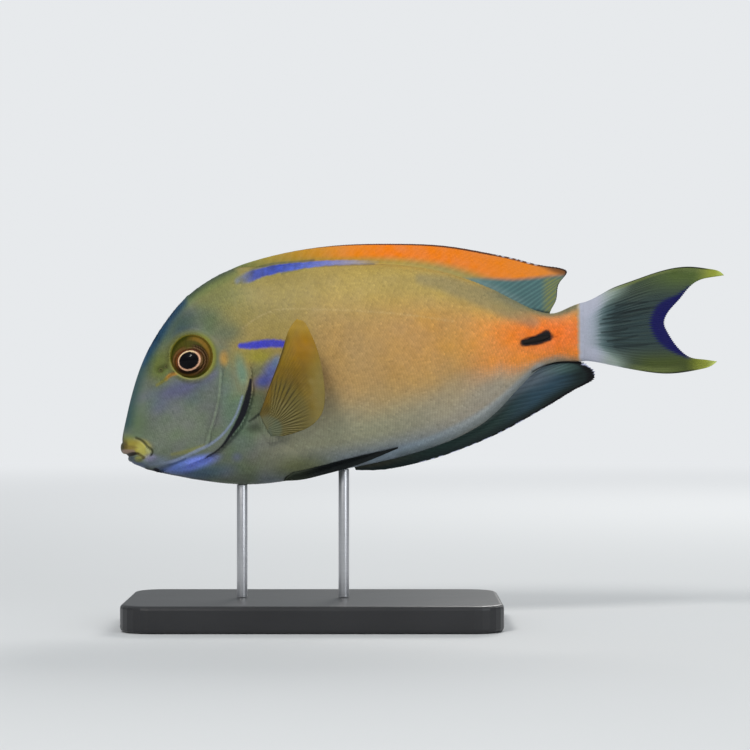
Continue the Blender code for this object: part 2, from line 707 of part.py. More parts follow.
def build_dorsal(colour, parent):
    xs = np.linspace(*DORSAL_BASE_X, 24)
    base = [(x, edge_height(x, 0) + GAP) for x in xs]
    margin = [*DORSAL_MARGIN, *DORSAL_REAR[1:]]
    edges = (flat(base), flat(margin), flat([base[0], margin[0]]), flat([base[-1], margin[-1]]))
    return fin_object(
        "dorsal_fin", edges, (DORSAL_SPINES, DORSAL_RAYS), MEDIAN_FIN_ROWS,
        lambda s: 0.95 + 0 * s, colour, parent, wave=lambda s, v: 0.5 * v**2 * np.sin(7 * s),
    )


def build_anal(colour, parent):
    xs = np.linspace(*ANAL_BASE_X, 24)
    base = [(x, edge_height(x, 4) - GAP) for x in xs]
    margin = [*ANAL_MARGIN, *ANAL_REAR[1:]]
    edges = (flat(base), flat(margin), flat([base[0], margin[0]]), flat([base[-1], margin[-1]]))
    return fin_object(
        "anal_fin", edges, (ANAL_SPINES, ANAL_RAYS), MEDIAN_FIN_ROWS,
        lambda s: 0.85 + 0 * s, colour, parent, wave=lambda s, v: 0.4 * v**2 * np.sin(6 * s + 1),
    )


def build_tail_lobe(name, edge, hind, root_z, middle_z, fork_z, colour, parent):
    """One lobe of the tail fin. Its root is as thick as the tail root's end."""
    root = flat([(TAIL_ROOT_X, root_z), (TAIL_ROOT_X, middle_z)])
    inner = flat([(TAIL_ROOT_X, middle_z), (TAIL_FORK[0], fork_z)])
    margin = flat([*hind, (TAIL_FORK[0], fork_z)])
    width = SECTIONS[-1][3]
    return fin_object(
        name, (root, margin, flat(edge), inner), (0, TAIL_RAYS_PER_LOBE), TAIL_ROWS,
        lambda s: np.maximum(width * np.sqrt(1 - (1 - s) ** 2) - 0.2, 0.3),
        colour, parent, notch=0.015,
    )


def pectoral_point(x, z):
    """Where a point of the pectoral's outline lies once the fin leans out."""
    (x0, z0), (x1, z1) = PECTORAL_ROOT[0], PECTORAL_ROOT[-1]
    length = math.hypot(x1 - x0, z1 - z0)
    away = max(0.0, ((x - x0) * (z0 - z1) + (z - z0) * (x1 - x0)) / length)
    share = np.clip(((x - x0) * (x1 - x0) + (z - z0) * (z1 - z0)) / length**2, 0, 1)
    near_x, near_z = x0 + (x1 - x0) * share, z0 + (z1 - z0) * share
    out = flesh_side_at(near_x, near_z) + GAP + 0.75
    return x, -(out + PECTORAL_LEAN * away - PECTORAL_CUP * away**2), z


def build_pectoral(side, colour, parent):
    edges = [
        curve_through([pectoral_point(*p) for p in outline])
        for outline in (PECTORAL_ROOT, PECTORAL_MARGIN, PECTORAL_LEADING, PECTORAL_LOWER)
    ]
    name = "pectoral_fin_left" if side < 0 else "pectoral_fin_right"
    return fin_object(
        name, edges, (0, PECTORAL_RAYS), PECTORAL_ROWS, lambda s: 0.75 + 0 * s,
        colour, parent, notch=0.03, mirror=side > 0,
    )


def pelvic_point(x, z):
    """Where a point of the folded pelvic lies: beside the belly, further out behind."""
    return x, -float(np.interp(x, *np.array(PELVIC_OUT).T)), z


def build_pelvic(side, colour, parent):
    tip = [PELVIC_LOWER[-1], PELVIC_UPPER[-1]]
    edges = [
        curve_through([pelvic_point(*p) for p in outline])
        for outline in (PELVIC_ROOT, tip, PELVIC_LOWER, PELVIC_UPPER)
    ]
    name = "pelvic_fin_left" if side < 0 else "pelvic_fin_right"
    return fin_object(
        name, edges, (1, PELVIC_RAYS - 1), PELVIC_ROWS, lambda s: 0.6 + 0 * s,
        colour, parent, notch=0.01, mirror=side > 0, hugging=GAP + PELVIC_CLEARANCE,
    )


def build_stand(plate_colour, rod_colour, fish):
    """A flat plate and two rods up to the belly."""
    stand = bpy.data.objects.new("stand", None)
    bpy.context.scene.collection.objects.link(stand)
    length, width, height = BASE_SIZE
    centre_x = BASE_CENTRE_X - TOTAL_LENGTH / 2
    plate = add_object(
        "stand_base",
        box_points((-length / 2, -width / 2, 0), (length / 2, width / 2, height)),
        BOX_FACES, plate_colour, stand, smooth=False,
    )
    plate.location.x = centre_x * MM
    shell = bmesh.new()
    shell.from_mesh(plate.data)
    upright = [e for e in shell.edges if abs(e.verts[0].co.z - e.verts[1].co.z) > height * MM / 2]
    bmesh.ops.bevel(shell, geom=upright, offset=BASE_CORNER * MM, segments=6, profile=0.5, affect="EDGES")
    shell.to_mesh(plate.data)
    shell.free()
    bevel = plate.modifiers.new("Top edge", "BEVEL")
    bevel.width = BASE_BEVEL * MM
    bevel.segments = 3
    bevel.limit_method = "ANGLE"
    bevel.angle_limit = math.radians(60)
    for name, x in zip(("stand_rod_front", "stand_rod_rear"), ROD_X):
        build_rod(name, x, height + GAP, rod_colour, stand)


def build_rod(name, x, foot, colour, stand):
    """A round rod whose top follows the belly above it."""
    turns = np.linspace(0, 2 * math.pi, ROD_SIDES, endpoint=False)
    lower, upper = [], []
    for turn in turns:
        px, py = x + ROD_RADIUS * math.cos(turn), ROD_RADIUS * math.sin(turn)
        lower.append((px - TOTAL_LENGTH / 2, py, foot))
        upper.append((px - TOTAL_LENGTH / 2, py, BELLY_ABOVE_FLOOR + belly_under(px, py) - GAP))
    top = (x - TOTAL_LENGTH / 2, 0.0, BELLY_ABOVE_FLOOR + belly_under(x, 0.0) - GAP)
    points = lower + upper + [top]
    count = ROD_SIDES
    faces = [tuple(range(count))]
    for j in range(count):
        k = (j + 1) % count
        faces += [(j, k, count + k, count + j), (count + j, count + k, 2 * count)]
    return add_object(name, points, faces, colour, stand)


def belly_under(x, y):
    """Height of the belly's underside at x and y."""
    below = LEFT_SIDE[LEFT_SIDE[:, 2] < BELLY_TOP]
    away = (below[:, 0] - x) ** 2 + (-below[:, 1] - abs(y)) ** 2
    return float(below[np.argmin(away), 2])


def clear_scene():
    for old in list(bpy.data.objects):
        bpy.data.objects.remove(old)


def build():
    clear_scene()
    fish = bpy.data.objects.new("surgeonfish", None)
    bpy.context.scene.collection.objects.link(fish)
    fish.location = (-TOTAL_LENGTH / 2 * MM, 0, BELLY_ABOVE_FLOOR * MM)
    head_skin = material("head_skin", HEAD_GREEN)
    body_skin = material("body_skin", FLESH_OLIVE)
    tail_skin = material("tail_skin", TAIL_ORANGE)
    fin_dark = material("dark_fin", FIN_DARK)
    build_head(head_skin, fish)
    build_trunk(body_skin, fish)
    build_peduncle(tail_skin, fish)
    eye = material("eye", EYE_DARK, 0.08)
    steel_blade = material("tail_blade", BLADE_BLACK, 0.3)
    gold = material("pectoral", FIN_GOLD)
    for side, name in ((-1, "left"), (1, "right")):
        build_gill_cover(side, head_skin, fish)
        eye_ball("eye_" + name, side, 0.0, eye, fish)
        blade("tail_spine_" + name, side, 0.0, steel_blade, fish)
        build_pectoral(side, gold, fish)
        build_pelvic(side, fin_dark, fish)
    build_dorsal(material("dorsal", FIN_ORANGE), fish)
    build_anal(fin_dark, fish)
    tail = material("tail_fin", FIN_YELLOW)
    top, middle, bottom = TAIL_ROOT_HEIGHTS
    build_tail_lobe(
        "tail_fin_upper", TAIL_UPPER_EDGE, TAIL_UPPER_HIND, top, middle + GAP / 2,
        TAIL_FORK[1] + GAP / 2, tail, fish,
    )
    build_tail_lobe(
        "tail_fin_lower", TAIL_LOWER_EDGE, TAIL_LOWER_HIND, bottom, middle - GAP / 2,
        TAIL_FORK[1] - GAP / 2, tail, fish,
    )
    build_stand(material("stand_plate", STAND_BLACK, 0.35), material("steel", STEEL, 0.3, 1.0), fish)


build()
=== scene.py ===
import math

import bpy
import numpy as np
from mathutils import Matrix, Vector


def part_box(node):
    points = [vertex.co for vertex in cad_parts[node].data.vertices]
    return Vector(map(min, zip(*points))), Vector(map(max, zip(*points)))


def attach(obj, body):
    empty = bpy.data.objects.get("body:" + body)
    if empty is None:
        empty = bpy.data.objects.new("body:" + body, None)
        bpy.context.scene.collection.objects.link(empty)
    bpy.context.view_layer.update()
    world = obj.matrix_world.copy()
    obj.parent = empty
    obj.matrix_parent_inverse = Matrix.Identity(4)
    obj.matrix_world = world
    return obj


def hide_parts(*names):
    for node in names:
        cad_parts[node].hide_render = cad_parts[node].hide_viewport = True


# The looks of a surgeonfish, 181.5 mm long, held level on its stand.
# Lengths are in millimetres in the fish's own frame: x runs back from the upper lip,
# z up from the lowest point of the belly, and the left side is -y.

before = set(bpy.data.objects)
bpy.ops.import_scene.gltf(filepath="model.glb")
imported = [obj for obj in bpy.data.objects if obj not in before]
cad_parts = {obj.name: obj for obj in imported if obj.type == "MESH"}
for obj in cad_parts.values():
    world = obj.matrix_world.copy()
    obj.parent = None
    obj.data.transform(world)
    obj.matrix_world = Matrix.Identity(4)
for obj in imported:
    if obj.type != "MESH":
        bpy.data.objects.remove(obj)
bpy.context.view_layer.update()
print("frame loaded")

millimetre = 0.001
fishFrame = {"length": 181.5, "bellyHeight": 42.0}


# Curves and small helpers

def smooth(value, start, end):
    # 0 before start, 1 past end, and a slope without corners between
    share = np.clip((value - start) / (end - start), 0, 1)
    return share * share * (3 - 2 * share)


def fall(value, start, end):
    # 1 before start and 0 past end
    return 1 - smooth(value, start, end)


def bell(value, middle, width):
    # 1 at the middle, falling off on both sides like a bell
    return np.exp(-((value - middle) / width) ** 2)


def unit(vectors):
    # vectors made one long
    return vectors / np.maximum(np.linalg.norm(vectors, axis=-1, keepdims=True), 1e-9)


def naturalSpline(knots, values):
    # piecewise cubics whose slopes and bends agree at every knot, with no bend at the ends
    knots, values = np.asarray(knots, float), np.asarray(values, float)
    spans, count = np.diff(knots), len(knots)
    system, right = np.eye(count), np.zeros_like(values)
    for i in range(1, count - 1):
        system[i, i - 1:i + 2] = spans[i - 1], 2 * (spans[i - 1] + spans[i]), spans[i]
        after = (values[i + 1] - values[i]) / spans[i]
        before = (values[i] - values[i - 1]) / spans[i - 1]
        right[i] = 6 * (after - before)
    bends = np.linalg.solve(system, right)

    def at(place):
        place = np.asarray(place, float)
        i = np.clip(np.searchsorted(knots, place) - 1, 0, count - 2)
        span = spans[i]
        near = (knots[i + 1] - place) / span
        far = 1 - near
        if values.ndim > 1:
            near, far, span = near[..., None], far[..., None], span[..., None]
        bend = (near ** 3 - near) * bends[i] + (far ** 3 - far) * bends[i + 1]
        return near * values[i] + far * values[i + 1] + bend * span ** 2 / 6

    return at


def curveThrough(points):
    # a spline through the points, read by the share of its length
    points = np.asarray(points, float)
    steps = np.linalg.norm(np.diff(points, axis=0), axis=1)
    along = np.concatenate([[0.0], np.cumsum(steps)])
    return naturalSpline(along / along[-1], points)


def gridNormals(points):
    # the cross product of the steps along the grid's two directions, made one long
    return unit(np.cross(np.gradient(points, axis=0), np.gradient(points, axis=1)))


def softNoise(x, y, z, size, seed):
    # a sum of seeded sine waves in all directions, about -1 to 1, with swells of that size
    draw, waves = np.random.default_rng(seed), 9
    total = 0 * x
    for _ in range(waves):
        way = draw.normal(size=3)
        way *= 2 * math.pi / (size * draw.uniform(0.7, 1.6)) / np.linalg.norm(way)
        total = total + np.sin(x * way[0] + y * way[1] + z * way[2] + draw.uniform(0, 6.28))
    return total / (waves / 2)


# The flesh

flesh = {
    # each row is a bowed ring: top, widest point and keel as (x, z), half width, bow above and below
    "sections": (
        ((0.9, 10.9), (1.9, 9.3), (2.7, 8.1), 2.1, 1.2, 1.2),
        ((0.6, 12.9), (3.3, 9.3), (3.2, 6.8), 3.9, 1.2, 1.2),
        ((1.1, 16.8), (6.3, 9.3), (5.1, 5.6), 5.2, 1.3, 1.3),
        ((2.5, 23.1), (9.6, 10.2), (7.1, 4.8), 6.6, 1.4, 1.6),
        ((4.6, 30.9), (14.9, 14.7), (8.7, 4.3), 8.2, 1.5, 2.0),
        ((8.0, 39.6), (20.6, 19.8), (9.8, 4.0), 9.6, 1.5, 2.2),
        ((13.4, 48.5), (26.3, 23.7), (10.5, 3.8), 10.7, 1.4, 2.4),
        ((20.9, 57.0), (32.9, 26.4), (11.3, 3.6), 11.8, 1.4, 2.6),
        ((30.5, 63.2), (39.5, 28.2), (12.0, 3.4), 12.7, 1.4, 2.8),
        ((39.0, 65.0), (45.5, 30.3), (25.4, 1.0), 13.1, 1.5, 2.4),
        ((50.9, 65.7), (55.4, 32.7), (42.5, 0.1), 13.2, 1.7, 2.0),
        ((65.9, 66.1), (68.3, 35.1), (59.3, 2.9), 12.6, 2.0, 2.0),
        ((82.4, 65.7), (83.3, 37.2), (79.4, 7.1), 11.1, 2.0, 2.0),
        ((98.9, 63.0), (98.9, 39.9), (97.7, 12.6), 8.9, 2.0, 2.0),
        ((113.9, 57.2), (113.6, 42.0), (113.0, 21.9), 6.5, 2.0, 2.0),
        ((122.9, 52.7), (122.6, 43.2), (122.3, 31.8), 4.9, 2.0, 2.0),
        ((129.8, 51.2), (129.8, 44.0), (129.2, 36.3), 3.9, 2.0, 2.0),
        ((135.5, 53.4), (135.5, 45.0), (135.5, 36.8), 3.2, 2.0, 2.0),
        ((140.9, 55.2), (140.9, 45.9), (140.9, 36.7), 2.1, 2.0, 2.0),
    ),
    "gillSection": 8,
    "fullness": 2.1,
    "snout": (1.3, 0.0, 9.4),
}


def sectionRails():
    # each section's place along the fish, a spline through their rows, and their bows
    sections = flesh["sections"]
    rows = np.array([(*top, *side, *keel, width) for top, side, keel, width, _, _ in sections])
    moves = np.diff(rows[:, :6], axis=0).reshape(-1, 3, 2)
    steps = np.linalg.norm(moves, axis=2).mean(axis=1)
    places = np.concatenate([[0.0], np.cumsum(steps)])
    bows = np.array([(above, below) for *_, above, below in sections])
    return places, naturalSpline(places, rows), bows


sectionPlaces, rails, sectionBows = sectionRails()
gillPlace = sectionPlaces[flesh["gillSection"]]
tailPlace = sectionPlaces[-1]


def fleshPoints(place, turn):
    # x and z go from the widest point to the back or keel by the cosine of the turn, with x
    # bowed by a power of it, and y is the half width times sqrt(1 - cosine to the fullness)
    place, turn = np.broadcast_arrays(np.asarray(place, float), np.asarray(turn, float))
    row = rails(place)
    height = np.cos(turn)
    share, above = np.abs(height), height >= 0
    endX = np.where(above, row[..., 0], row[..., 4])
    endZ = np.where(above, row[..., 1], row[..., 5])
    bowAbove = np.interp(place, sectionPlaces, sectionBows[:, 0])
    bowBelow = np.interp(place, sectionPlaces, sectionBows[:, 1])
    x = row[..., 2] + (endX - row[..., 2]) * share ** np.where(above, bowAbove, bowBelow)
    z = row[..., 3] + (endZ - row[..., 3]) * share
    y = row[..., 6] * np.sqrt(np.clip(1 - share ** flesh["fullness"], 0, 1))
    y = np.where(np.abs(np.sin(turn)) < 1e-6, 0.0, -np.sign(np.sin(turn)) * y)
    return np.stack([x, y, z], axis=-1)


leftPlaces, leftTurns = np.linspace(0, tailPlace, 700), np.linspace(0, math.pi, 400)
leftSide = fleshPoints(*np.meshgrid(leftPlaces, leftTurns, indexing="ij")).reshape(-1, 3)


def sideAt(x, z):
    # half width of the flesh at a point of the side view, from its nearest known points
    away = (leftSide[:, 0] - x) ** 2 + (leftSide[:, 2] - z) ** 2
    nearest = np.argpartition(away, 4)[:4]
    weight = 1 / (away[nearest] + 1e-9)
    return float(np.sum(-leftSide[nearest, 1] * weight) / np.sum(weight))


def sideSlope(x, z, step):
    # how fast the half width of the flesh grows to the rear and upwards
    rearward = (sideAt(x + step, z) - sideAt(x - step, z)) / (2 * step)
    return rearward, (sideAt(x, z + step) - sideAt(x, z - step)) / (2 * step)


def edgeHeight(x, rail):
    # height of the back, rail 0, or of the keel, rail 4
    row = rails(np.linspace(0, tailPlace, 1500))
    return np.interp(x, row[:, rail], row[:, rail + 1])


# Painting: marks are laid one over the other on the side picture

sideView = {"x": 76.35, "z": 32.7, "away": 750.0}


def seenAt(x, y, z):
    # a point's place in the side picture: nearer parts look larger, by their share of the
    # 750 mm to the eye, about the picture's middle
    grow = 1 + np.abs(y) / sideView["away"]
    return sideView["x"] + (x - sideView["x"]) * grow, sideView["z"] + (z - sideView["z"]) * grow


def blot(x, z, centre, size, soft=0.5, tilt=0.0):
    # 1 inside an ellipse and 0 past its soft edge
    c, s = math.cos(tilt), math.sin(tilt)
    dx, dz = x - centre[0], z - centre[1]
    away = np.hypot((dx * c + dz * s) / size[0], (dz * c - dx * s) / size[1])
    return fall(away, 1 - soft, 1 + soft)


def stroke(x, z, path, width, soft):
    # 1 within the width of a curved line and 0 past its soft edge; two widths make it taper
    line = curveThrough(path)(np.linspace(0, 1, 4 * len(path) + 1))
    ends = np.atleast_1d(width)
    widths = np.interp(np.linspace(0, 1, len(line)), np.linspace(0, 1, len(ends)), ends)
    beyond = np.full(np.shape(x), 1e9)
    for (ax, az), (bx, bz), near, far in zip(line[:-1], line[1:], widths[:-1], widths[1:]):
        ux, uz = bx - ax, bz - az
        share = np.clip(((x - ax) * ux + (z - az) * uz) / (ux * ux + uz * uz), 0, 1)
        away = np.hypot(x - ax - share * ux, z - az - share * uz)
        beyond = np.minimum(beyond, away - near - (far - near) * share)
    return fall(beyond, 0, soft)


def wash(colour, over, mask):
    # lays a colour over another by a mask
    return colour + (np.asarray(over) - colour) * np.asarray(mask)[..., None]


def layer(colour, palette, *layers):
    # lays a palette's named colours one over the other, each by its mask
    for name, mask in layers:
        colour = wash(colour, palette[name], mask)
    return colour


def plain(x, colour):
    # one colour at every point of x
    return np.zeros(np.shape(x) + (3,)) + colour


def byPlace(x, places, colours):
    # a colour that changes evenly from place to place
    return np.stack([np.interp(x, places, part) for part in zip(*colours)], axis=-1)


bodyPaint = {
    "sideTan": (0.43, 0.27, 0.098), "flankGold": (0.52, 0.275, 0.076), "rearOrange": (0.72, 0.25, 0.04),
    "tailOrange": (0.8, 0.18, 0.028), "backOlive": (0.4, 0.29, 0.08), "shoulder": (0.285, 0.225, 0.062),
    "ridgeGrey": (0.17, 0.185, 0.11), "lowFront": (0.3, 0.295, 0.195), "lowRear": (0.33, 0.29, 0.222),
    "belly": (0.215, 0.255, 0.29), "head": (0.135, 0.165, 0.115), "whiteBar": (0.4, 0.415, 0.5),
    "barStart": 137.2, "barEdge": (0.42, 0.34, 0.2), "seamShadow": (0.006, 0.006, 0.008),
    "keel": (0.115, 0.14, 0.13),
    "keelShadeLine": ((84.0, 8.6), (97.0, 12.6), (110.0, 20.0), (119.0, 28.0), (124.5, 33.4)),
    "seamShadowLine": ((123.6, 33.7), (126.5, 35.2), (129.5, 36.1), (132.6, 36.5), (138.4, 36.6)),
    "limitAt": (50, 62, 69, 84, 99, 114, 123, 132, 137),
    "limit": (-0.2, -0.28, -0.34, -0.43, -0.47, -0.42, -0.7, -0.88, -0.96),
}
# (centre, half sizes, softness, tilt, colour, strength)
headBlots = (
    ((28.5, 57.5), (9, 7), 0.8, 0.0, (0.185, 0.2, 0.066), 0.8),
    ((19.5, 48.0), (5.5, 3.2), 0.8, 0.7, (0.035, 0.07, 0.078), 0.85),
    ((27.5, 48.6), (6.5, 3.4), 0.8, -0.1, (0.1, 0.128, 0.072), 0.8),
    ((31.8, 45.6), (4.2, 3.2), 0.8, 0.0, (0.12, 0.148, 0.092), 0.8),
    ((36.5, 50.5), (6.0, 2.8), 0.9, 0.3, (0.24, 0.205, 0.062), 0.5),
    ((15.0, 21.5), (9.5, 9), 0.8, 0.3, (0.13, 0.15, 0.155), 0.85),
    ((24.5, 24.0), (5.0, 8.0), 0.8, 0.0, (0.12, 0.14, 0.125), 0.65),
    ((17.5, 28.4), (8.0, 2.2), 0.9, 0.22, (0.095, 0.098, 0.2), 0.7),
    ((24.0, 31.8), (5.0, 1.6), 0.9, 0.35, (0.105, 0.11, 0.215), 0.65),
    ((11.5, 23.5), (2.6, 2.0), 0.9, 0.3, (0.11, 0.125, 0.215), 0.55),
    ((21.5, 25.4), (2.2, 1.6), 0.9, 0.2, (0.105, 0.112, 0.205), 0.45),
    ((17.5, 16.0), (11, 6.0), 0.8, 0.25, (0.17, 0.198, 0.14), 0.75),
    ((6.0, 18.5), (4.0, 4.5), 0.8, 0.0, (0.1, 0.15, 0.07), 0.7),
    ((34.2, 23.0), (4.0, 13), 0.6, 0.15, (0.12, 0.18, 0.13), 0.75),
    ((12.4, 35.8), (3.8, 5.6), 0.7, -0.3, (0.125, 0.15, 0.024), 0.85),
    ((12.0, 34.5), (1.1, 0.9), 0.8, 0.0, (0.04, 0.046, 0.008), 0.8),
    ((13.5, 35.4), (1.2, 0.7), 0.8, 0.5, (0.036, 0.04, 0.008), 0.8),
    ((31.1, 37.7), (1.2, 1.9), 0.8, 0.0, (0.47, 0.25, 0.035), 0.85),
    ((34.5, 38.2), (3.2, 1.6), 0.9, 0.0, (0.22, 0.2, 0.07), 0.6),
    ((42.4, 37.9), (5.2, 2.2), 0.8, -0.15, (0.29, 0.26, 0.032), 0.85),
    ((41.0, 33.6), (3.6, 2.4), 0.9, 0.3, (0.115, 0.155, 0.09), 0.75),
    ((36.4, 33.6), (1.5, 4.4), 0.8, 0.2, (0.13, 0.27, 0.2), 0.75),
    ((45.3, 33.6), (2.1, 3.8), 0.9, -0.42, (0.08, 0.125, 0.4), 0.88),
    ((46.6, 36.6), (0.9, 1.7), 0.9, -0.42, (0.12, 0.23, 0.4), 0.6),
    ((42.7, 30.6), (2.2, 1.6), 0.9, 0.3, (0.045, 0.06, 0.4), 0.9),
    # painted shade: the grey-green shadow pocket in front of the pectoral fin's leading edge
    ((41.4, 24.0), (2.6, 5.6), 0.8, -0.2, (0.085, 0.125, 0.062), 0.8),
    ((43.6, 16.8), (3.6, 3.0), 0.8, 0.0, (0.12, 0.16, 0.1), 0.6),
    ((40.2, 16.9), (2.3, 1.3), 0.8, 0.1, (0.045, 0.055, 0.035), 0.75),
    # painted shadow under the pectoral fin's lower root
    ((47.2, 12.8), (3.6, 1.5), 0.8, 0.3, (0.125, 0.135, 0.105), 0.45),
    ((42.0, 10.5), (6.0, 3.5), 0.8, 0.0, (0.12, 0.135, 0.13), 0.5),
    ((35.0, 8.0), (1.3, 1.2), 0.9, 0.0, (0.1, 0.11, 0.26), 0.5),
    ((46.0, 6.0), (9, 4.0), 0.8, 0.0, (0.15, 0.155, 0.09), 0.6),
    ((55.0, 5.2), (8, 3.2), 0.8, 0.1, (0.15, 0.16, 0.045), 0.7),
    ((23.0, 3.4), (9.0, 2.2), 0.8, 0.1, (0.06, 0.105, 0.2), 0.75),
    ((20.4, 5.9), (7.4, 1.9), 0.6, 0.24, (0.16, 0.24, 0.76), 0.92),
    ((22.8, 6.5), (3.2, 1.2), 0.8, 0.26, (0.23, 0.31, 0.9), 0.8),
    ((13.5, 5.1), (2.6, 0.8), 0.8, 0.3, (0.055, 0.09, 0.17), 0.75),
)
mouthBlots = (
    ((10.6, 6.6), (3.6, 1.7), 0.7, 0.05, (0.19, 0.235, 0.29), 0.85),
    ((4.8, 6.0), (3.4, 1.3), 0.7, -0.45, (0.05, 0.078, 0.19), 0.8),
    ((8.8, 7.9), (1.8, 1.1), 0.7, 0.0, (0.255, 0.245, 0.37), 0.85),
    ((2.2, 13.0), (1.9, 1.5), 0.8, 0.0, (0.18, 0.215, 0.05), 0.75),
    ((4.7, 11.5), (3.9, 1.9), 0.6, -0.1, (0.3, 0.24, 0.034), 0.92),
    ((6.8, 10.5), (1.9, 2.2), 0.6, 0.2, (0.44, 0.4, 0.09), 0.9),
    ((8.3, 10.5), (0.7, 1.1), 0.7, 0.2, (0.45, 0.46, 0.21), 0.85),
    ((3.0, 10.9), (1.6, 0.6), 0.7, 0.0, (0.19, 0.13, 0.028), 0.75),
    ((1.4, 11.5), (0.8, 1.6), 0.7, 0.0, (0.075, 0.048, 0.01), 0.8),
    ((5.4, 7.4), (1.3, 0.9), 0.6, 0.0, (0.195, 0.205, 0.055), 0.85),
    ((3.1, 7.6), (1.2, 0.8), 0.7, 0.0, (0.04, 0.062, 0.08), 0.85),
    ((6.9, 7.9), (0.5, 0.4), 0.7, 0.0, (0.055, 0.055, 0.018), 0.75),
)
# (path, half width, softness, colour, strength)
headStrokes = (
    (((0.6, 19.0), (3.0, 29.5), (7.4, 39.5), (11.2, 46.0)), (0.4, 0.4, 0.3, 0.0), 4.8,
     (0.008, 0.058, 0.074), 0.9),
    (((19.0, 54.0), (26.0, 59.4), (34.0, 63.2)), (0.2, 0.6, 0.4), 2.2, (0.14, 0.2, 0.06), 0.5),
    (((9.0, 43.4), (14.0, 50.2), (20.0, 56.6), (28.0, 62.3), (33.0, 64.6)), (0.3, 0.1, 0.0), 2.6,
     (0.02, 0.052, 0.04), 0.8),
    (((6.0, 37.0), (10.0, 44.6), (14.6, 51.0), (17.8, 54.4)), (0.1, 0.8, 0.9, 0.3), 3.0,
     (0.006, 0.054, 0.13), 0.88),
    (((30.0, 34.0), (29.6, 26.6), (27.8, 18.8), (25.8, 12.2)), 0.06, 0.5, (0.25, 0.31, 0.21), 0.55),
    (((15.5, 8.9), (20.0, 9.8), (25.0, 11.3)), (0.05, 0.25, 0.2), 0.8, (0.24, 0.23, 0.055), 0.55),
    (((8.6, 5.9), (12.0, 6.2), (16.4, 7.1), (23.0, 10.0), (27.0, 12.0), (31.3, 15.6), (34.6, 20.6),
      (36.6, 26.4)), (0.14, 0.2, 0.22, 0.1, 0.02, 0.0), 0.48, (0.25, 0.3, 0.45), 0.72),
    (((39.1, 31.4), (38.9, 29.6), (38.3, 26.6), (36.2, 20.1), (33.1, 14.9), (29.9, 10.8), (25.5, 7.9)),
     (0.2, 0.72, 0.85, 0.66, 0.3, 0.05, 0.0), 0.4, (0.002, 0.002, 0.006), 0.99),
    (((38.6, 18.8), (40.4, 20.0), (42.2, 21.6)), (0.12, 0.22), 0.4, (0.012, 0.015, 0.01), 0.8),
    (((36.0, 41.5), (39.3, 41.6), (42.6, 42.0), (46.0, 42.2), (49.5, 41.9)),
     (0.45, 0.8, 0.95, 0.9, 0.75), 0.55, (0.036, 0.042, 0.47), 0.96),
    (((36.5, 42.4), (40.5, 43.0), (45.0, 43.6)), 0.05, 0.35, (0.1, 0.1, 0.1), 0.35),
    (((17.2, 33.2), (14.85, 32.6), (13.65, 31.5)), (0.2, 0.32, 0.22), 0.45, (0.4, 0.19, 0.026), 0.85),
    (((13.65, 31.5), (12.15, 30.45), (10.8, 29.6)), (0.25, 0.1), 0.5, (0.21, 0.19, 0.028), 0.7),
    (((10.4, 4.2), (11.9, 3.4), (15.9, 2.2), (20.0, 1.5), (27.0, 0.6)), (0.3, 0.25, 0.1), 0.8,
     (0.008, 0.013, 0.03), 0.85),
    (((10.9, 4.6), (13.0, 5.3), (16.0, 6.1), (19.5, 7.6)), (0.22, 0.12, 0.04), 0.45,
     (0.03, 0.05, 0.1), 0.65),
)
mouthStrokes = (
    (((0.1, 14.5), (0.2, 12.5), (0.3, 10.6)), 0.35, 0.9, (0.025, 0.022, 0.006), 0.85),
    (((0.9, 9.8), (2.4, 9.75), (3.9, 9.7)), (0.25, 0.35, 0.25), 0.5, (0.235, 0.16, 0.135), 0.85),
    # painted shade in the slit between the lips
    (((2.2, 8.6), (3.4, 8.95), (4.7, 9.15), (5.3, 9.1)), (0.32, 0.38, 0.1), 0.4,
     (0.01, 0.005, 0.002), 0.96),
    (((5.2, 9.1), (6.1, 8.6), (6.9, 7.95)), (0.12, 0.2), 0.5, (0.085, 0.068, 0.015), 0.8),
    (((4.65, 13.8), (6.15, 13.2), (7.05, 12.45), (7.95, 11.4), (8.85, 10.65), (9.5, 10.1), (9.5, 9.2),
      (9.0, 8.5)), (0.05, 0.16, 0.16, 0.04), 0.42, (0.036, 0.038, 0.012), 0.85),
    (((10.5, 4.3), (11.0, 4.1)), 0.35, 0.4, (0.001, 0.001, 0.008), 0.95),
)
sideStrokes = (
    (((36.6, 46.6), (41.0, 49.9), (46.4, 52.1), (53.0, 52.6), (63.0, 52.3), (80.0, 51.4), (100.0, 48.8)),
     0.02, 0.3, (0.56, 0.43, 0.2), 0.32),
    (((90.0, 61.5), (102.0, 58.6), (111.0, 55.0), (118.0, 51.8), (124.0, 48.6)), (0.2, 1.2, 1.6, 1.6, 0.4),
     2.6, (0.19, 0.18, 0.12), 0.48),
    (((76.0, 7.4), (84.0, 9.2), (93.0, 12.3), (102.0, 16.6), (112.0, 22.4), (120.0, 28.8), (126.0, 34.2)),
     (0.9, 1.1, 0.9, 0.8, 1.0, 1.2, 1.0), 1.8, (0.33, 0.43, 0.52), 0.42),
    (((121.0, 42.4), (124.6, 43.1), (128.3, 44.2)), (0.85, 1.25, 1.1), 0.6, (0.004, 0.004, 0.005), 0.99),
    (((125.6, 44.4), (127.9, 45.4)), (0.4, 0.7), 0.55, (0.004, 0.004, 0.005), 0.97),
)
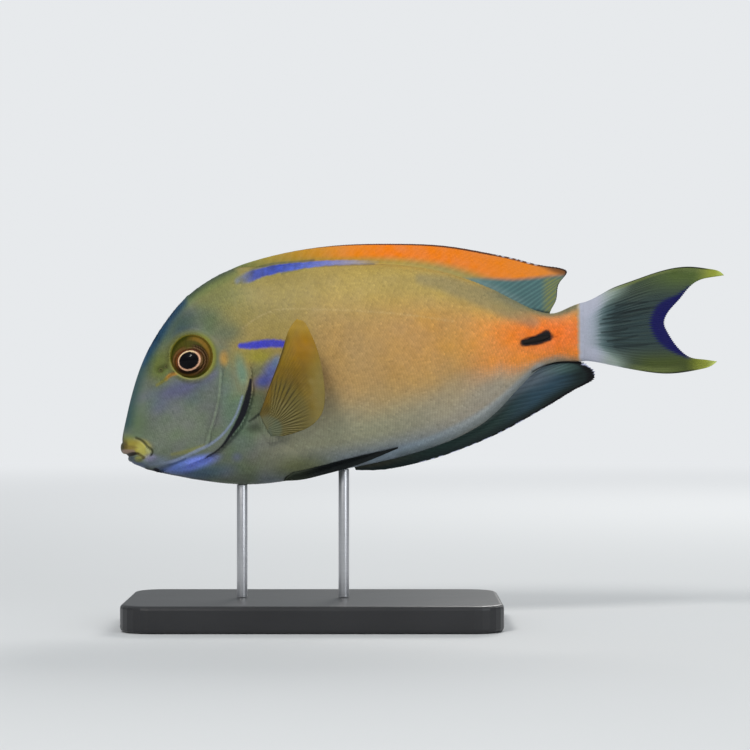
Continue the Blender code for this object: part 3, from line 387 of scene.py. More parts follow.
backBand = {
    "path": ((35.2, 61.0), (38.4, 62.0), (41.9, 63.3), (44.9, 64.1), (47.9, 64.7), (50.9, 65.1), (53.9, 65.5),
             (56.9, 65.8), (59.9, 66.1), (65.9, 66.4), (71.9, 66.5), (77.0, 66.5)),
    "width": (0.2, 1.15, 1.1, 1.0, 0.85, 0.68, 0.55, 0.48, 0.42, 0.4, 0.34, 0.2), "soft": 0.55,
    "at": (36, 40, 48, 56, 62, 70, 76), "strength": (0.45, 0.88, 0.95, 0.92, 0.85, 0.7, 0.15),
    "colour": ((0.055, 0.1, 0.3), (0.022, 0.05, 0.34), (0.028, 0.065, 0.43), (0.085, 0.14, 0.56),
               (0.16, 0.215, 0.63), (0.33, 0.34, 0.5), (0.42, 0.38, 0.42)),
    "fringe": (0.3, 0.3, 0.08),
    "under": ((48.5, 63.2), (51.5, 64.2), (59.9, 65.4), (68.0, 65.8), (76.0, 66.0)),
    "over": ((39.0, 64.2), (45.0, 65.9), (51.0, 66.5), (58.0, 67.1)),
    "shadow": (0.055, 0.07, 0.07),
}
orbit = {
    "centre": (22.0, 38.2), "opening": 6.5, "rim": 7.15, "rimWidth": 0.7, "rimHeight": 0.42, "socket": 2.6,
    "halo": (0.2, 0.205, 0.024), "line": (0.3, 0.29, 0.06), "olive": (0.12, 0.125, 0.022),
}


def aboutEye(x, z):
    # a point's distance from the eye's centre and its turn about it
    dx, dz = x - orbit["centre"][0], z - orbit["centre"][1]
    return np.hypot(dx, dz), np.arctan2(dz, dx)


def layBlots(colour, x, z, blots):
    # lays soft ellipses one over the other
    for centre, size, soft, tilt, over, strength in blots:
        colour = wash(colour, over, blot(x, z, centre, size, soft, tilt) * strength)
    return colour


def layStrokes(colour, x, z, strokes):
    # lays soft lines one over the other
    for path, width, soft, over, strength in strokes:
        colour = wash(colour, over, stroke(x, z, path, width, soft) * strength)
    return colour


def layBackBand(colour, x, z):
    # a band along the dorsal fin's foot between dark lines: deep blue in front, lavender behind
    for key, strength in (("under", 0.55), ("over", 0.6)):
        colour = wash(colour, backBand["shadow"], stroke(x, z, backBand[key], 0.1, 0.45) * strength)
    cloud = softNoise(x, 0 * x, z, 1.8, 23)
    tint = byPlace(x, backBand["at"], backBand["colour"])
    tint = tint * (1 + 0.3 * cloud * fall(x, 52, 60))[..., None]
    soft = backBand["soft"] + 0.8 * fall(x, 36, 42)
    mask = stroke(x, z + 0.12 * cloud, backBand["path"], backBand["width"], soft)
    glow = stroke(x, z, backBand["path"], backBand["width"], 1.6) * fall(x, 50, 62)
    colour = wash(colour, backBand["fringe"], 0.35 * glow)
    return wash(colour, tint, mask * np.interp(x, backBand["at"], backBand["strength"]))


def paintBody(x, y, z, place, height):
    # height is the cosine of the turn: 1 at the back, 0 at the widest line, -1 at the keel
    grain = softNoise(x, y, z, 9.0, 3)
    side, up = seenAt(x, y, z)
    colour = layer(
        plain(x, bodyPaint["sideTan"]), bodyPaint,
        ("flankGold", smooth(side, 68, 98) * smooth(height, -0.4, 0.1)),
        ("rearOrange", smooth(side, 98, 118) * fall(height, 0.22, 0.72)),
        ("backOlive", smooth(height, 0.3, 0.8) * fall(side, 116, 130)),
        ("shoulder", 0.85 * fall(side, 46, 66) * smooth(height, -0.1, 0.3)),
        ("tailOrange", blot(side, up, (131, 44.8), (13, 5.4), 0.8)))
    limit = np.interp(side, bodyPaint["limitAt"], bodyPaint["limit"])
    low = fall(height + 0.04 * grain, limit - 0.3, limit + 0.26)
    colour = layer(
        colour, bodyPaint,
        ("lowFront", low),
        ("lowRear", low * smooth(side, 74, 110)),
        ("ridgeGrey", smooth(height, 0.66, 0.97) * smooth(side, 104, 116) * 0.9),
        ("belly", fall(height, -0.94, -0.66) * fall(side, 84, 110)))
    head = fall(place + 1.0 * grain, gillPlace - 7.5, gillPlace - 2.0)
    head = np.maximum(head, fall(side, 38, 46) * fall(height, -0.15, 0.15))
    colour = wash(colour, bodyPaint["head"], head)
    colour = layBlots(colour, side, up, headBlots)
    cloud = softNoise(x, 0.3 * y, z, 5.0, 17) * head
    colour = colour * (1 + cloud[..., None] * np.array([0.05, -0.03, 0.12]))
    away, around = aboutEye(x, z)
    rearward = 0.1 + 0.75 * smooth(np.cos(around - 0.1), 0.1, 0.9)
    colour = layer(
        colour, orbit,
        ("olive", 0.6 * fall(away, 7.0, 8.8)),
        ("halo", rearward * fall(away, 7.0, 7.9)))
    colour = layStrokes(colour, side, up, headStrokes + sideStrokes)
    colour = layBlots(colour, side, up, mouthBlots)
    colour = layStrokes(colour, side, up, mouthStrokes)
    colour = layBackBand(colour, side, up)
    bright = 0.55 + 0.35 * np.maximum(np.cos(around - 0.1), np.cos(around + 2.3))
    colour = wash(colour, orbit["line"], bright * bell(away, 6.62, 0.22))
    colour = layer(
        colour, bodyPaint,
        # painted shade where the anal fin meets the body: a soft dark band along the keel and a black line at
        # the seam
        ("keel", 0.55 * stroke(side, up, bodyPaint["keelShadeLine"], (0.0, 0.4, 0.4, 0.2), 2.0)),
        ("seamShadow", 0.9 * stroke(side, up, bodyPaint["seamShadowLine"], (0.0, 0.1, 0.1), 0.4)))
    start = bodyPaint["barStart"] + 0.03 * (54 - z) + 0.1 * np.sin(z * 2.1)
    colour = layer(
        colour, bodyPaint,
        ("barEdge", 0.75 * smooth(side, start - 0.6, start - 0.1)),
        ("whiteBar", smooth(side, start, start + 0.55)))
    fleck = softNoise(x * 0.5, y, z, 1.3, 11)
    colour = colour * (1 + 0.05 * grain + 0.05 * fleck)[..., None]
    return np.clip(colour, 0.002, 0.95)


# Materials

def newMaterial(name):
    # an empty material and its node tree
    made = bpy.data.materials.new(name)
    made.use_nodes = True
    made.node_tree.nodes.clear()
    return made, made.node_tree


def addNode(tree, kind, links=(), **values):
    # adds a node, sets its values by name, and joins or sets the inputs named in links;
    # a node given there stands for its first output
    node = tree.nodes.new("ShaderNode" + kind)
    for name, value in values.items():
        setattr(node, name, value)
    for key, value in links:
        if isinstance(value, bpy.types.Node):
            value = value.outputs[0]
        if isinstance(value, bpy.types.NodeSocket):
            tree.links.new(value, node.inputs[key])
        else:
            node.inputs[key].default_value = value
    return node


def objectPlace(tree):
    return addNode(tree, "TexCoord").outputs["Object"]


def addNoise(tree, place, size, detail):
    return addNode(tree, "TexNoise", [("Vector", place), ("Scale", size), ("Detail", detail)])


def addSurface(tree, links):
    # joins a surface with these values to the material's output
    shader = addNode(tree, "BsdfPrincipled", links)
    addNode(tree, "OutputMaterial", [("Surface", shader)])


def makeLivingSurface():
    # one group for all painted skin: paint varied by two noises, a height for fine pores
    # and streaks, and a roughness that changes over the surface
    group = bpy.data.node_groups.new("livingSurface", "ShaderNodeTree")
    for way, kind, names in (
            ("INPUT", "NodeSocketColor", ("Paint",)),
            ("INPUT", "NodeSocketFloat", ("Mottle Size", "Mottle", "Grain Size", "Grain", "Roughness")),
            ("OUTPUT", "NodeSocketColor", ("Colour",)),
            ("OUTPUT", "NodeSocketFloat", ("Height", "Roughness"))):
        for name in names:
            group.interface.new_socket(name, in_out=way, socket_type=kind)
    given, result = group.nodes.new("NodeGroupInput").outputs, group.nodes.new("NodeGroupOutput").inputs
    place = objectPlace(group)
    broad = addNoise(group, place, given["Mottle Size"], 4.0)
    fine = addNoise(group, place, given["Grain Size"], 2.0)

    def around(noise, amount):
        # 1 plus the amount times the noise's swing about its middle
        swing = addNode(group, "Math", [(0, noise), (1, 0.5)], operation="SUBTRACT")
        return addNode(group, "Math", [(0, swing), (1, amount), (2, 1.0)], operation="MULTIPLY_ADD")

    first, second = around(broad, given["Mottle"]), around(fine, given["Grain"])
    gain = addNode(group, "Math", [(0, first), (1, second)], operation="MULTIPLY")
    painted = addNode(group, "HueSaturation", [
        ("Color", given["Paint"]), ("Value", gain), ("Saturation", first)])
    rough = addNode(group, "Math", [(0, given["Roughness"]), (1, second)], operation="MULTIPLY")
    for name, node in (("Colour", painted), ("Height", fine), ("Roughness", rough)):
        group.links.new(node.outputs[0], result[name])
    return group


livingSurface = makeLivingSurface()


def livingMaterial(name, mottleSize, mottle, grainSize, grain, roughness, bump, wet, sheen, clear=0.15):
    # the group's paint, roughness and relief under a thin coat; without a wet value the coat
    # follows the paint's alpha
    made, tree = newMaterial(name)
    paint = addNode(tree, "Attribute", attribute_name="paint", attribute_type="GEOMETRY")
    surface = addNode(tree, "Group", node_tree=livingSurface)
    tree.links.new(paint.outputs["Color"], surface.inputs["Paint"])
    for key, value in (("Mottle Size", mottleSize), ("Mottle", mottle), ("Grain Size", grainSize),
                       ("Grain", grain), ("Roughness", roughness)):
        surface.inputs[key].default_value = value
    relief = addNode(
        tree, "Bump", [("Height", surface.outputs["Height"]), ("Strength", bump), ("Distance", 0.0002)])
    addSurface(tree, [
        ("Base Color", surface), ("Roughness", surface.outputs["Roughness"]), ("Normal", relief),
        ("Specular IOR Level", sheen), ("Coat Roughness", clear),
        ("Coat Weight", paint.outputs["Alpha"] if wet is None else wet)])
    return made


skinMaterial = livingMaterial("wetSkin", 140, 0.16, 1400, 0.14, 0.48, 0.35, 0.0, 0.22)
scaleMaterial = livingMaterial("fineScales", 140, 0.16, 1600, 0.12, 0.45, 0.25, 0.0, 0.22)
lipMaterial = livingMaterial("lipSkin", 700, 0.24, 2600, 0.16, 0.46, 0.35, 0.02, 0.25)
finMaterial = livingMaterial("finMembrane", 220, 0.16, 2000, 0.14, 0.52, 0.35, 0.0, 0.2)
darkFinMaterial = livingMaterial("darkFinMembrane", 220, 0.2, 2000, 0.16, 0.62, 0.35, 0.0, 0.12)
eyeMaterial = livingMaterial("wetEye", 500, 0.1, 2500, 0.08, 0.45, 0.0, None, 0.03, 0.05)
bladeMaterial = livingMaterial("spineSheath", 600, 0.3, 2600, 0.2, 0.5, 0.4, 0.0, 0.15)
print("materials made")


# Mesh making

def toWorld(points):
    moved = np.asarray(points, float) + np.array([-fishFrame["length"] / 2, 0.0, fishFrame["bellyHeight"]])
    return moved * millimetre


def makePiece(name, points, faces, material, colours=None, replaced=(), uvs=None, uvName="UVMap",
              inFish=True):
    # faces is a whole-number array of triangles or quads, already facing out
    faces = np.asarray(faces)
    mesh = bpy.data.meshes.new(name)
    placed = toWorld(points) if inFish else np.asarray(points, float) * millimetre
    count, sides = faces.shape
    mesh.vertices.add(len(placed))
    mesh.vertices.foreach_set("co", placed.astype(np.float32).ravel())
    mesh.loops.add(count * sides)
    mesh.loops.foreach_set("vertex_index", faces.astype(np.int32).ravel())
    mesh.polygons.add(count)
    mesh.polygons.foreach_set("loop_start", np.arange(0, count * sides, sides, dtype=np.int32))
    mesh.update(calc_edges=True)
    mesh.validate()
    if colours is not None:
        rgba = np.ones((len(placed), 4))
        rgba[:, :colours.shape[-1]] = colours.reshape(len(placed), -1)
        paint = mesh.color_attributes.new("paint", "FLOAT_COLOR", "POINT")
        paint.data.foreach_set("color", rgba.astype(np.float32).ravel())
    if uvs is not None:
        unwrap = mesh.uv_layers.new(name=uvName)
        unwrap.data.foreach_set("uv", np.asarray(uvs)[faces.ravel()].astype(np.float32).ravel())
    mesh.shade_smooth()
    mesh.materials.append(material)
    made = bpy.data.objects.new(name, mesh)
    bpy.context.scene.collection.objects.link(made)
    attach(made, "root")
    if replaced:
        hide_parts(*replaced)
    return made


def roundTurn(count):
    # evenly spaced angles once round, without the last one that meets the first
    return np.linspace(0, 2 * math.pi, count + 1)[:-1]


def gridFaces(rows, columns, wrapRows=False, wrapColumns=False):
    # quads between neighbouring points of a grid whose columns run fastest
    i = np.arange(rows if wrapRows else rows - 1)
    j = np.arange(columns if wrapColumns else columns - 1)
    i, j = np.meshgrid(i, j, indexing="ij")
    k, m = (i + 1) % rows, (j + 1) % columns
    quads = np.stack([i * columns + j, k * columns + j, k * columns + m, i * columns + m], axis=-1)
    return quads.reshape(-1, 4)


def halved(quads):
    # each quad as two triangles
    return np.concatenate([quads[:, [0, 1, 2]], quads[:, [0, 2, 3]]])


def fan(first, second, tip):
    # triangles from pairs of points to one tip
    return np.stack([first, second, np.full(len(first), tip)], axis=1)


def slabFaces(rows, columns):
    # two grids, front then back, closed by a strip round their border
    front = gridFaces(rows, columns)
    back = front[:, ::-1] + rows * columns
    place = np.arange(rows * columns).reshape(rows, columns)
    edge = np.concatenate([place[:, 0], place[-1, 1:], place[-2::-1, -1], place[0, -2:0:-1]])
    after = np.roll(edge, -1)
    strip = np.stack([edge, edge + rows * columns, after + rows * columns, after], axis=1)
    return np.concatenate([front, back, strip])


def faceOut(points, faces):
    # turns the faces round if the closed surface they bound has a negative volume
    corners = np.asarray(points)[faces if faces.shape[1] == 3 else halved(faces)]
    volume = np.einsum("ij,ij->i", corners[:, 0], np.cross(corners[:, 1], corners[:, 2])).sum()
    return faces if volume > 0 else faces[:, ::-1]


# The skin

mirrored = np.array([1.0, -1.0, 1.0])
skin = {
    "headRings": 190, "bodyRings": 175, "turns": 124,
    "coverTop": (0.04, 0.26), "coverBottom": -0.9, "coverFront": 6.9, "coverEdge": 0.8,
    "coverProud": 0.4, "hollow": 0.85, "hollowLength": 5.5, "edgeBend": 1.5, "bendReach": 4.5,
    "tailSink": 0.4, "tailBlend": 3.2, "mouthShade": (0.02, 0.008, 0.006),
    "ridge": ((30.2, 35.0), (29.6, 26.6), (27.8, 18.8), (25.8, 12.2)),
    "groove": ((17.4, 33.6), (14.9, 32.5), (12.2, 30.3)),
    "mouthGroove": ((4.65, 13.8), (7.05, 12.45), (8.85, 10.65), (9.5, 9.9), (9.2, 8.7)),
    "finRoot": ((42.0, 20.6), (44.0, 17.6), (45.8, 14.6)),
    "bladeBed": ((121.0, 42.5), (124.6, 43.3), (128.4, 44.2)),
    # (line, shift forward, half width, softness, height), first as the picture sees them
    "seenLines": (("ridge", 0, 0.1, 0.8, 0.12), ("ridge", 0.9, 0.1, 0.8, -0.12),
                  ("groove", 0, 0.1, 0.6, -0.22), ("mouthGroove", 0, 0.05, 0.7, -0.35)),
    "lines": (("finRoot", 0, 0.6, 2.2, 0.75), ("bladeBed", 0, 0.7, 0.8, -0.35)),
    "cheek": ((5.6, 11.4), (3.4, 2.4), 0.6), "cheekHeight": 0.35, "swell": 0.05, "swellSize": 7.0,
    "headCrowd": 1.1, "bodyCrowd": 1.12, "eyeCrowd": 0.9, "eyeHeight": 0.32, "eyeSpread": 0.3,
    "bendFrom": (-0.05, 0.3), "bendTo": (0.52, 0.76), "step": 0.015,
}
unwrap = {"start": 0.02, "long": 0.95, "scale": 150.0, "left": 0.52, "right": 0.02}
coverFrontPlace = float(np.interp(skin["coverFront"], range(len(sectionPlaces)), sectionPlaces))
gillEdge = gillPlace + skin["coverEdge"]


def bodyRelief(x, y, z, place, height):
    # the sum of raised and sunk forms, each a smooth hill, trench or step, in millimetres
    band = smooth(height, skin["coverBottom"] - 0.05, skin["coverBottom"] + 0.05)
    band = band * fall(height, *skin["coverTop"])
    cover = smooth(place, coverFrontPlace - 1.5, gillEdge - 1) * (place <= gillEdge)
    behind = (place > gillEdge) * fall(place, gillEdge, gillEdge + skin["hollowLength"])
    lift = band * (skin["coverProud"] * cover - skin["hollow"] * behind)
    away, _ = aboutEye(x, z)
    lift = lift + orbit["rimHeight"] * bell(away, orbit["rim"], orbit["rimWidth"])
    lift = lift - orbit["socket"] * fall(away, orbit["opening"] - 0.9, orbit["opening"])
    side, up = seenAt(x, y, z)
    for lines, across, above in (("seenLines", side, up), ("lines", x, z)):
        for line, shift, width, soft, rise in skin[lines]:
            lift = lift + rise * stroke(across + shift, above, skin[line], width, soft)
    lift = lift + skin["cheekHeight"] * blot(side, up, *skin["cheek"])
    return lift + skin["swell"] * softNoise(x, 0 * x, z, skin["swellSize"], 5)


def skinPlaces():
    # rings lie closer on the head, and two lie at the lip of the gill cover
    head = np.linspace(0, 1, skin["headRings"]) ** skin["headCrowd"] * (gillEdge - 0.02)
    body = np.linspace(0, 1, skin["bodyRings"]) ** skin["bodyCrowd"]
    body = gillEdge + 0.1 + (tailPlace - gillEdge - 0.1) * body
    return np.concatenate([head, body])


def skinTurns():
    # points lie closest round the height of the eye
    fine = np.linspace(0, math.pi, 2000)
    density = 1 + skin["eyeCrowd"] * bell(np.cos(fine), skin["eyeHeight"], skin["eyeSpread"])
    total = np.cumsum(density)
    return np.interp(np.linspace(total[0], total[-1], skin["turns"] + 1), total, fine)


def skinGrid(places, turns):
    # the flesh, moved along its normals by the relief, on one side only; the rings about the
    # gill cover's edge are bent forward, and the last ones are sunk into the tail fin's root
    where, around = np.meshgrid(places, turns, indexing="ij")
    height = np.cos(around)
    below = smooth(-height, *skin["bendFrom"]) * fall(-height, *skin["bendTo"])
    bend = skin["edgeBend"] * below * bell(where, gillEdge, skin["bendReach"])
    points = fleshPoints(where - bend, around)
    step = skin["step"]
    along = fleshPoints(where - bend + step, around) - fleshPoints(where - bend - step, around)
    inward = np.clip(around, step, math.pi - step)
    about = fleshPoints(where - bend, inward + step) - fleshPoints(where - bend, inward - step)
    normal = unit(np.cross(about, along))
    normal = normal * np.where(normal[..., 1] > 0, -1.0, 1.0)[..., None]
    rim = (around < 1e-6) | (around > math.pi - 1e-6)
    normal[..., 1] = np.where(rim, 0.0, normal[..., 1])
    lift = bodyRelief(points[..., 0], points[..., 1], points[..., 2], where, height)
    lift = lift * smooth(np.sin(around), 0.0, 0.15) * fall(where, tailPlace - 3, tailPlace)
    lift = lift - skin["tailSink"] * smooth(where, tailPlace - skin["tailBlend"], tailPlace)
    return points + normal * lift[..., None], normal, height, where


def buildSkin():
    # both sides' rings joined at the back and keel, closed by a fan at the snout and one at the tail
    left, _, height, where = skinGrid(skinPlaces(), skinTurns())
    rings = np.concatenate([left, left[:, -2:0:-1] * mirrored], axis=1)
    heights, wheres = (np.concatenate([half, half[:, -2:0:-1]], axis=1).ravel() for half in (height, where))
    count, size = rings.shape[:2]
    points = rings.reshape(-1, 3)
    colours = paintBody(*points.T, wheres, heights)
    end = rings[-1].mean(axis=0) + np.array([0.3, 0, 0])
    points = np.concatenate([points, [flesh["snout"]], [end]])
    # the snout's point, seen between the lips, takes painted shade for the inside of the mouth
    colours = np.concatenate([colours, [skin["mouthShade"]], [bodyPaint["whiteBar"]]])
    j = np.arange(size)
    k, last = (j + 1) % size, (count - 1) * size
    ends = [fan(j, k, count * size), fan(last + k, last + j, count * size + 1)]
    triangles = np.concatenate([halved(gridFaces(count, size, wrapColumns=True)), *ends])
    uvs = bodyUnwrap(np.append(wheres, [0.0, tailPlace]), points)
    makePiece("skin", points, faceOut(points, triangles), skinMaterial, colours,
              ("head", "trunk", "tail_root", "gill_cover_left", "gill_cover_right"), uvs)


def bodyUnwrap(place, points):
    # both sides laid flat on one square: along the fish, with the left in the upper half
    up = points[:, 2] / unwrap["scale"] + np.where(points[:, 1] <= 0, unwrap["left"], unwrap["right"])
    return np.stack([unwrap["start"] + unwrap["long"] * place / tailPlace, up], axis=1)


buildSkin()
print("skin made")


# Lips and nostrils

lips = {
    "corner": 8.7, "halfWidth": 5.3, "grid": (91, 32), "turn": 1.5, "thin": 0.45, "pleats": 26,
    "pleat": 0.02,
    "upper": {"frontX": 1.25, "frontZ": 10.9, "cornerZ": 9.9, "tall": 1.85, "thick": 1.2, "roll": 1},
    "lower": {"frontX": 3.2, "frontZ": 7.6, "cornerZ": 8.3, "tall": 0.93, "thick": 0.88, "roll": -1},
    "olive": (0.2, 0.19, 0.045), "rose": (0.2, 0.12, 0.09), "dark": (0.03, 0.018, 0.01),
}


def buildLip(name, shape, seed):
    # a roll carried round a half circle from one mouth corner to the other, thinner at the ends
    rows, columns = lips["grid"]
    turns = np.linspace(-lips["turn"], lips["turn"], rows)
    bends, over = np.meshgrid(turns, roundTurn(columns), indexing="ij")
    thin = 1 - lips["thin"] * np.abs(np.sin(bends)) ** 3
    pleat = 1 + lips["pleat"] * np.sin(lips["pleats"] * bends + seed) * np.maximum(np.cos(over), 0)
    reach = shape["thick"] * thin * np.cos(over) * pleat
    x = lips["corner"] - (lips["corner"] - shape["frontX"] + reach) * np.cos(bends)
    y = (lips["halfWidth"] + reach * 0.9) * np.sin(bends)
    z = shape["frontZ"] + (shape["cornerZ"] - shape["frontZ"]) * (1 - np.cos(bends))
    z = z + shape["tall"] * thin * np.sin(over) * pleat
    points = np.stack([x, y, z], axis=-1)
    ends = np.stack([points[0].mean(axis=0), points[-1].mean(axis=0)])
    flat = np.concatenate([points.reshape(-1, 3), ends])
    j = np.arange(columns)
    k, last = (j + 1) % columns, (rows - 1) * columns
    caps = [fan(k, j, rows * columns), fan(last + j, last + k, rows * columns + 1)]
    faces = np.concatenate([halved(gridFaces(rows, columns, wrapColumns=True)), *caps])
    inner = smooth(-shape["roll"] * np.sin(over), 0.35, 0.95)
    colour = wash(plain(x, lips["olive"]), lips["rose"], inner * 0.6)
    side, up = seenAt(x, y, z)
    colour = layStrokes(layBlots(colour, side, up, mouthBlots), side, up, mouthStrokes[:4])
    # painted shade on the lips' faces that turn into the mouth
    cleftShade = smooth(-shape["roll"] * np.sin(over) - 0.5 * np.cos(over), 0.85, 1.1)
    colour = wash(colour, lips["dark"], 0.8 * cleftShade)
    colour = np.concatenate([colour.reshape(-1, 3), [lips["olive"]] * 2])
    makePiece(name, flat, faceOut(flat, faces), lipMaterial, colour)


buildLip("upperLip", lips["upper"], 0.4)
buildLip("lowerLip", lips["lower"], 1.3)

nostrils = {"places": ((12.7, 34.1, 0.5), (14.4, 35.2, 0.42)), "wall": 0.2, "grid": (24, 9),
            "turn": (-0.6, 3.4), "sunk": 0.12, "thick": 0.3, "shade": (1.7, 2.6),
            "rim": (0.095, 0.095, 0.02), "hole": (0.006, 0.006, 0.003)}


def buildNostrils():
    # each is a turned ring whose profile is a small circle, round a sunken dark floor
    points, faces, colours, start = [], [], [], 0
    rows, columns = nostrils["grid"]
    around, over = np.meshgrid(roundTurn(rows), np.linspace(*nostrils["turn"], columns), indexing="ij")
    i = np.arange(rows) * columns
    k, inside = np.roll(i, -1), columns - 1
    tips = [fan(i + inside, k + inside, rows * columns), fan(k, i, rows * columns + 1)]
    piece = np.concatenate([halved(gridFaces(rows, columns, wrapRows=True)), *tips])
    tint = wash(plain(over, nostrils["rim"]), nostrils["hole"], smooth(over, *nostrils["shade"]))
    for side in (-1, 1):
        for cx, cz, radius in nostrils["places"]:
            reach = radius + nostrils["wall"] * np.cos(over)
            x, z = cx + reach * np.cos(around), cz + reach * np.sin(around)
            base, (slopeX, slopeZ) = sideAt(cx, cz), sideSlope(cx, cz, 1)
            y = side * (base + slopeX * (x - cx) + slopeZ * (z - cz) + nostrils["wall"] * np.sin(over))
            floor = np.array([cx, side * (base - nostrils["sunk"]), cz])
            under = floor - np.array([0, side * nostrils["thick"], 0])
            flat = np.concatenate([np.stack([x, y, z], axis=-1).reshape(-1, 3), [floor], [under]])
            faces.append(faceOut(flat - flat.mean(axis=0), piece) + start)
            points.append(flat)
            colours.append(np.concatenate([tint.reshape(-1, 3), [nostrils["hole"]] * 2]))
            start += len(flat)
    points, faces, colours = (np.concatenate(part) for part in (points, faces, colours))
    makePiece("nostrils", points, faces, lipMaterial, colours)


buildNostrils()
print("lips and nostrils made")


# The scales

scales = {
    "headPitch": (0.7, 0.6), "bodyPitch": (0.8, 0.68), "overlap": 1.55, "width": 1.45,
    "rootSunk": 0.05, "rearLift": 0.075, "snoutEnd": 7.5, "eyeClear": 7.6, "patch": 0.0026,
    # four rows of three points from root to rear: how far along, half widths and heights
    "flow": ((-0.05, -0.15, -0.05), (0.3, 0.3, 0.3), (0.72, 0.72, 0.72), (0.86, 1.0, 0.86)),
    "half": (0.34, 0.5, 0.47, 0.27), "rise": (-1.0, 0.25, 0.85, 1.0), "bow": 0.35,
    "known": (420, 320), "shortestRow": 8, "endGap": 0.1, "sizes": (0.92, 1.08), "lean": 0.06,
    "shade": 0.14, "tone": 0.055, "nostrilClear": 0.9, "grooveClear": (0.9, 0.6),
}


def between(values, at, mixed):
    # values between neighbours along the first axis
    return values[at] * (1 - mixed) + values[at + 1] * mixed


def lengths(points, axis):
    # the length run so far at each point along an axis
    steps = np.cumsum(np.linalg.norm(np.diff(points, axis=axis), axis=-1), axis=axis)
    return np.insert(steps, 0, 0.0, axis=axis)


def scalePlaces(pitch, firstPlace, lastPlace):
    # rows a pitch apart in arc length from the widest line, each with roots a pitch apart
    # along it and every other row shifted by half
    places = np.linspace(firstPlace, lastPlace, scales["known"][0])
    turns = np.linspace(0.0, math.pi, scales["known"][1])
    gap = scales["endGap"]
    points, normals, heights, _ = skinGrid(places, turns)
    known = np.concatenate([points, normals, heights[..., None]], axis=-1)
    arcs = lengths(points, 1)
    arcs = arcs - arcs[:, len(turns) // 2][:, None]
    reach = int(max(-arcs.min(), arcs.max()) / pitch[1]) + 1
    roots, ahead, up, share = [], [], [], []
    for row in range(-reach, reach + 1):
        level = row * pitch[1]
        chosen = np.flatnonzero((arcs[:, 0] < level - 2 * gap) & (arcs[:, -1] > level + 2 * gap))
        if len(chosen) < scales["shortestRow"]:
            continue
        column = np.array([np.interp(level, arcs[i], np.arange(len(turns))) for i in chosen])
        low = np.clip(column.astype(int), 0, len(turns) - 2)
        mixed = (column - low)[:, None]
        line = known[chosen, low] * (1 - mixed) + known[chosen, low + 1] * mixed
        length = lengths(line[:, :3], 0)
        stops = np.arange(gap + (row % 2) * pitch[0] / 2, length[-1] - gap, pitch[0])
        at = np.interp(stops, length, np.arange(len(chosen)))
        low = np.clip(at.astype(int), 0, len(chosen) - 2)
        at = at[chosen[low + 1] - chosen[low] == 1]
        low = np.clip(at.astype(int), 0, len(chosen) - 2)
        mixed = (at - low)[:, None]
        roots.append(between(line[:, :3], low, mixed))
        ahead.append(line[low + 1, :3] - line[low, :3])
        up.append(between(line[:, 3:6], low, mixed))
        share.append(np.stack([places[chosen][low], line[low, 6]], axis=1))
    roots, ahead, up, share = (np.concatenate(part) for part in (roots, ahead, up, share))
    return roots, unit(ahead), unit(up), share


def buildScales(name, pitch, firstPlace, lastPlace, side, seed):
    # each scale is a rounded tongue: it widens from a sunk root and lifts to a round rear edge
    roots, ahead, up, share = scalePlaces(pitch, firstPlace, lastPlace)
    x, z = roots[:, 0], roots[:, 2]
    away, _ = aboutEye(x, z)
    keep = (away > scales["eyeClear"]) & (x > scales["snoutEnd"]) & (x < bodyPaint["barStart"] - 1.2)
    keep &= (share[:, 0] < gillEdge - 0.4 * scales["overlap"]) | (share[:, 0] > gillEdge + 0.15)
    for cx, cz, radius in nostrils["places"]:
        keep &= np.hypot(x - cx, z - cz) > radius + scales["nostrilClear"]
    keep &= stroke(x, z, skin["bladeBed"], scales["grooveClear"][0], 0.1) < 0.5
    keep &= stroke(*seenAt(x, roots[:, 1], z), skin["mouthGroove"], scales["grooveClear"][1], 0.1) < 0.5
    roots, ahead, up, share = roots[keep], ahead[keep], up[keep], share[keep]
    draw = np.random.default_rng(seed)
    count = len(roots)
    size = draw.uniform(*scales["sizes"], count)
    lean = draw.normal(0, scales["lean"], count)
    sideways = np.cross(up, ahead)
    turned = ahead * np.cos(lean)[:, None] + sideways * np.sin(lean)[:, None]
    sideways = np.cross(up, turned)
    flow = np.array(scales["flow"])
    wide = np.array(scales["half"])[:, None] * np.array([-1.0, 0.0, 1.0])
    rise = np.array(scales["rise"])[:, None] - scales["bow"] * (np.abs(wide) > 0)
    rise = rise * np.where(rise < 0, scales["rootSunk"], scales["rearLift"])
    reaches = (flow * pitch[0] * scales["overlap"], wide * pitch[1] * scales["width"], rise)
    flat = np.repeat(roots[:, None], flow.size, axis=1)
    for reach, way in zip(reaches, (turned, sideways, up)):
        flat = flat + (size[:, None] * reach.ravel())[..., None] * way[:, None]
    flat = flat.reshape(-1, 3)
    colours = paintBody(*flat.T, *np.repeat(share, flow.size, axis=0).T)
    shade = np.repeat(1 + scales["shade"] * np.linspace(-1, 1, 4), 3)
    tone = 1 + draw.normal(0, scales["tone"], count)
    colours = np.clip(colours * (tone[:, None] * shade).reshape(-1, 1), 0.002, 0.95)
    faces = (gridFaces(*flow.shape) + (np.arange(count) * flow.size)[:, None, None]).reshape(-1, 4)
    outward = np.cross(flat[faces[0, 1]] - flat[faces[0, 0]], flat[faces[0, 2]] - flat[faces[0, 0]]) @ up[0]
    faces = faces if outward > 0 else faces[:, ::-1]
    patch = np.stack([flow.ravel(), wide.ravel()], axis=1) * scales["patch"]
    uvs = (bodyUnwrap(share[:, 0], roots)[:, None] + patch[None]).reshape(-1, 2)
    if side > 0:
        flat = flat * mirrored
        faces = faces[:, ::-1]
        uvs = uvs - np.array([0.0, unwrap["left"] - unwrap["right"]])
    print(name, count, "scales")
    makePiece(name, flat, faces, scaleMaterial, colours, uvs=uvs, uvName="OFBake")


for side, word in ((-1, "Left"), (1, "Right")):
    buildScales("headScales" + word, scales["headPitch"], 1.0, gillEdge, side, 21)
    buildScales("bodyScales" + word, scales["bodyPitch"], gillEdge + 0.2, tailPlace - 0.3, side,
                22)
print("scales made")


# Eyes

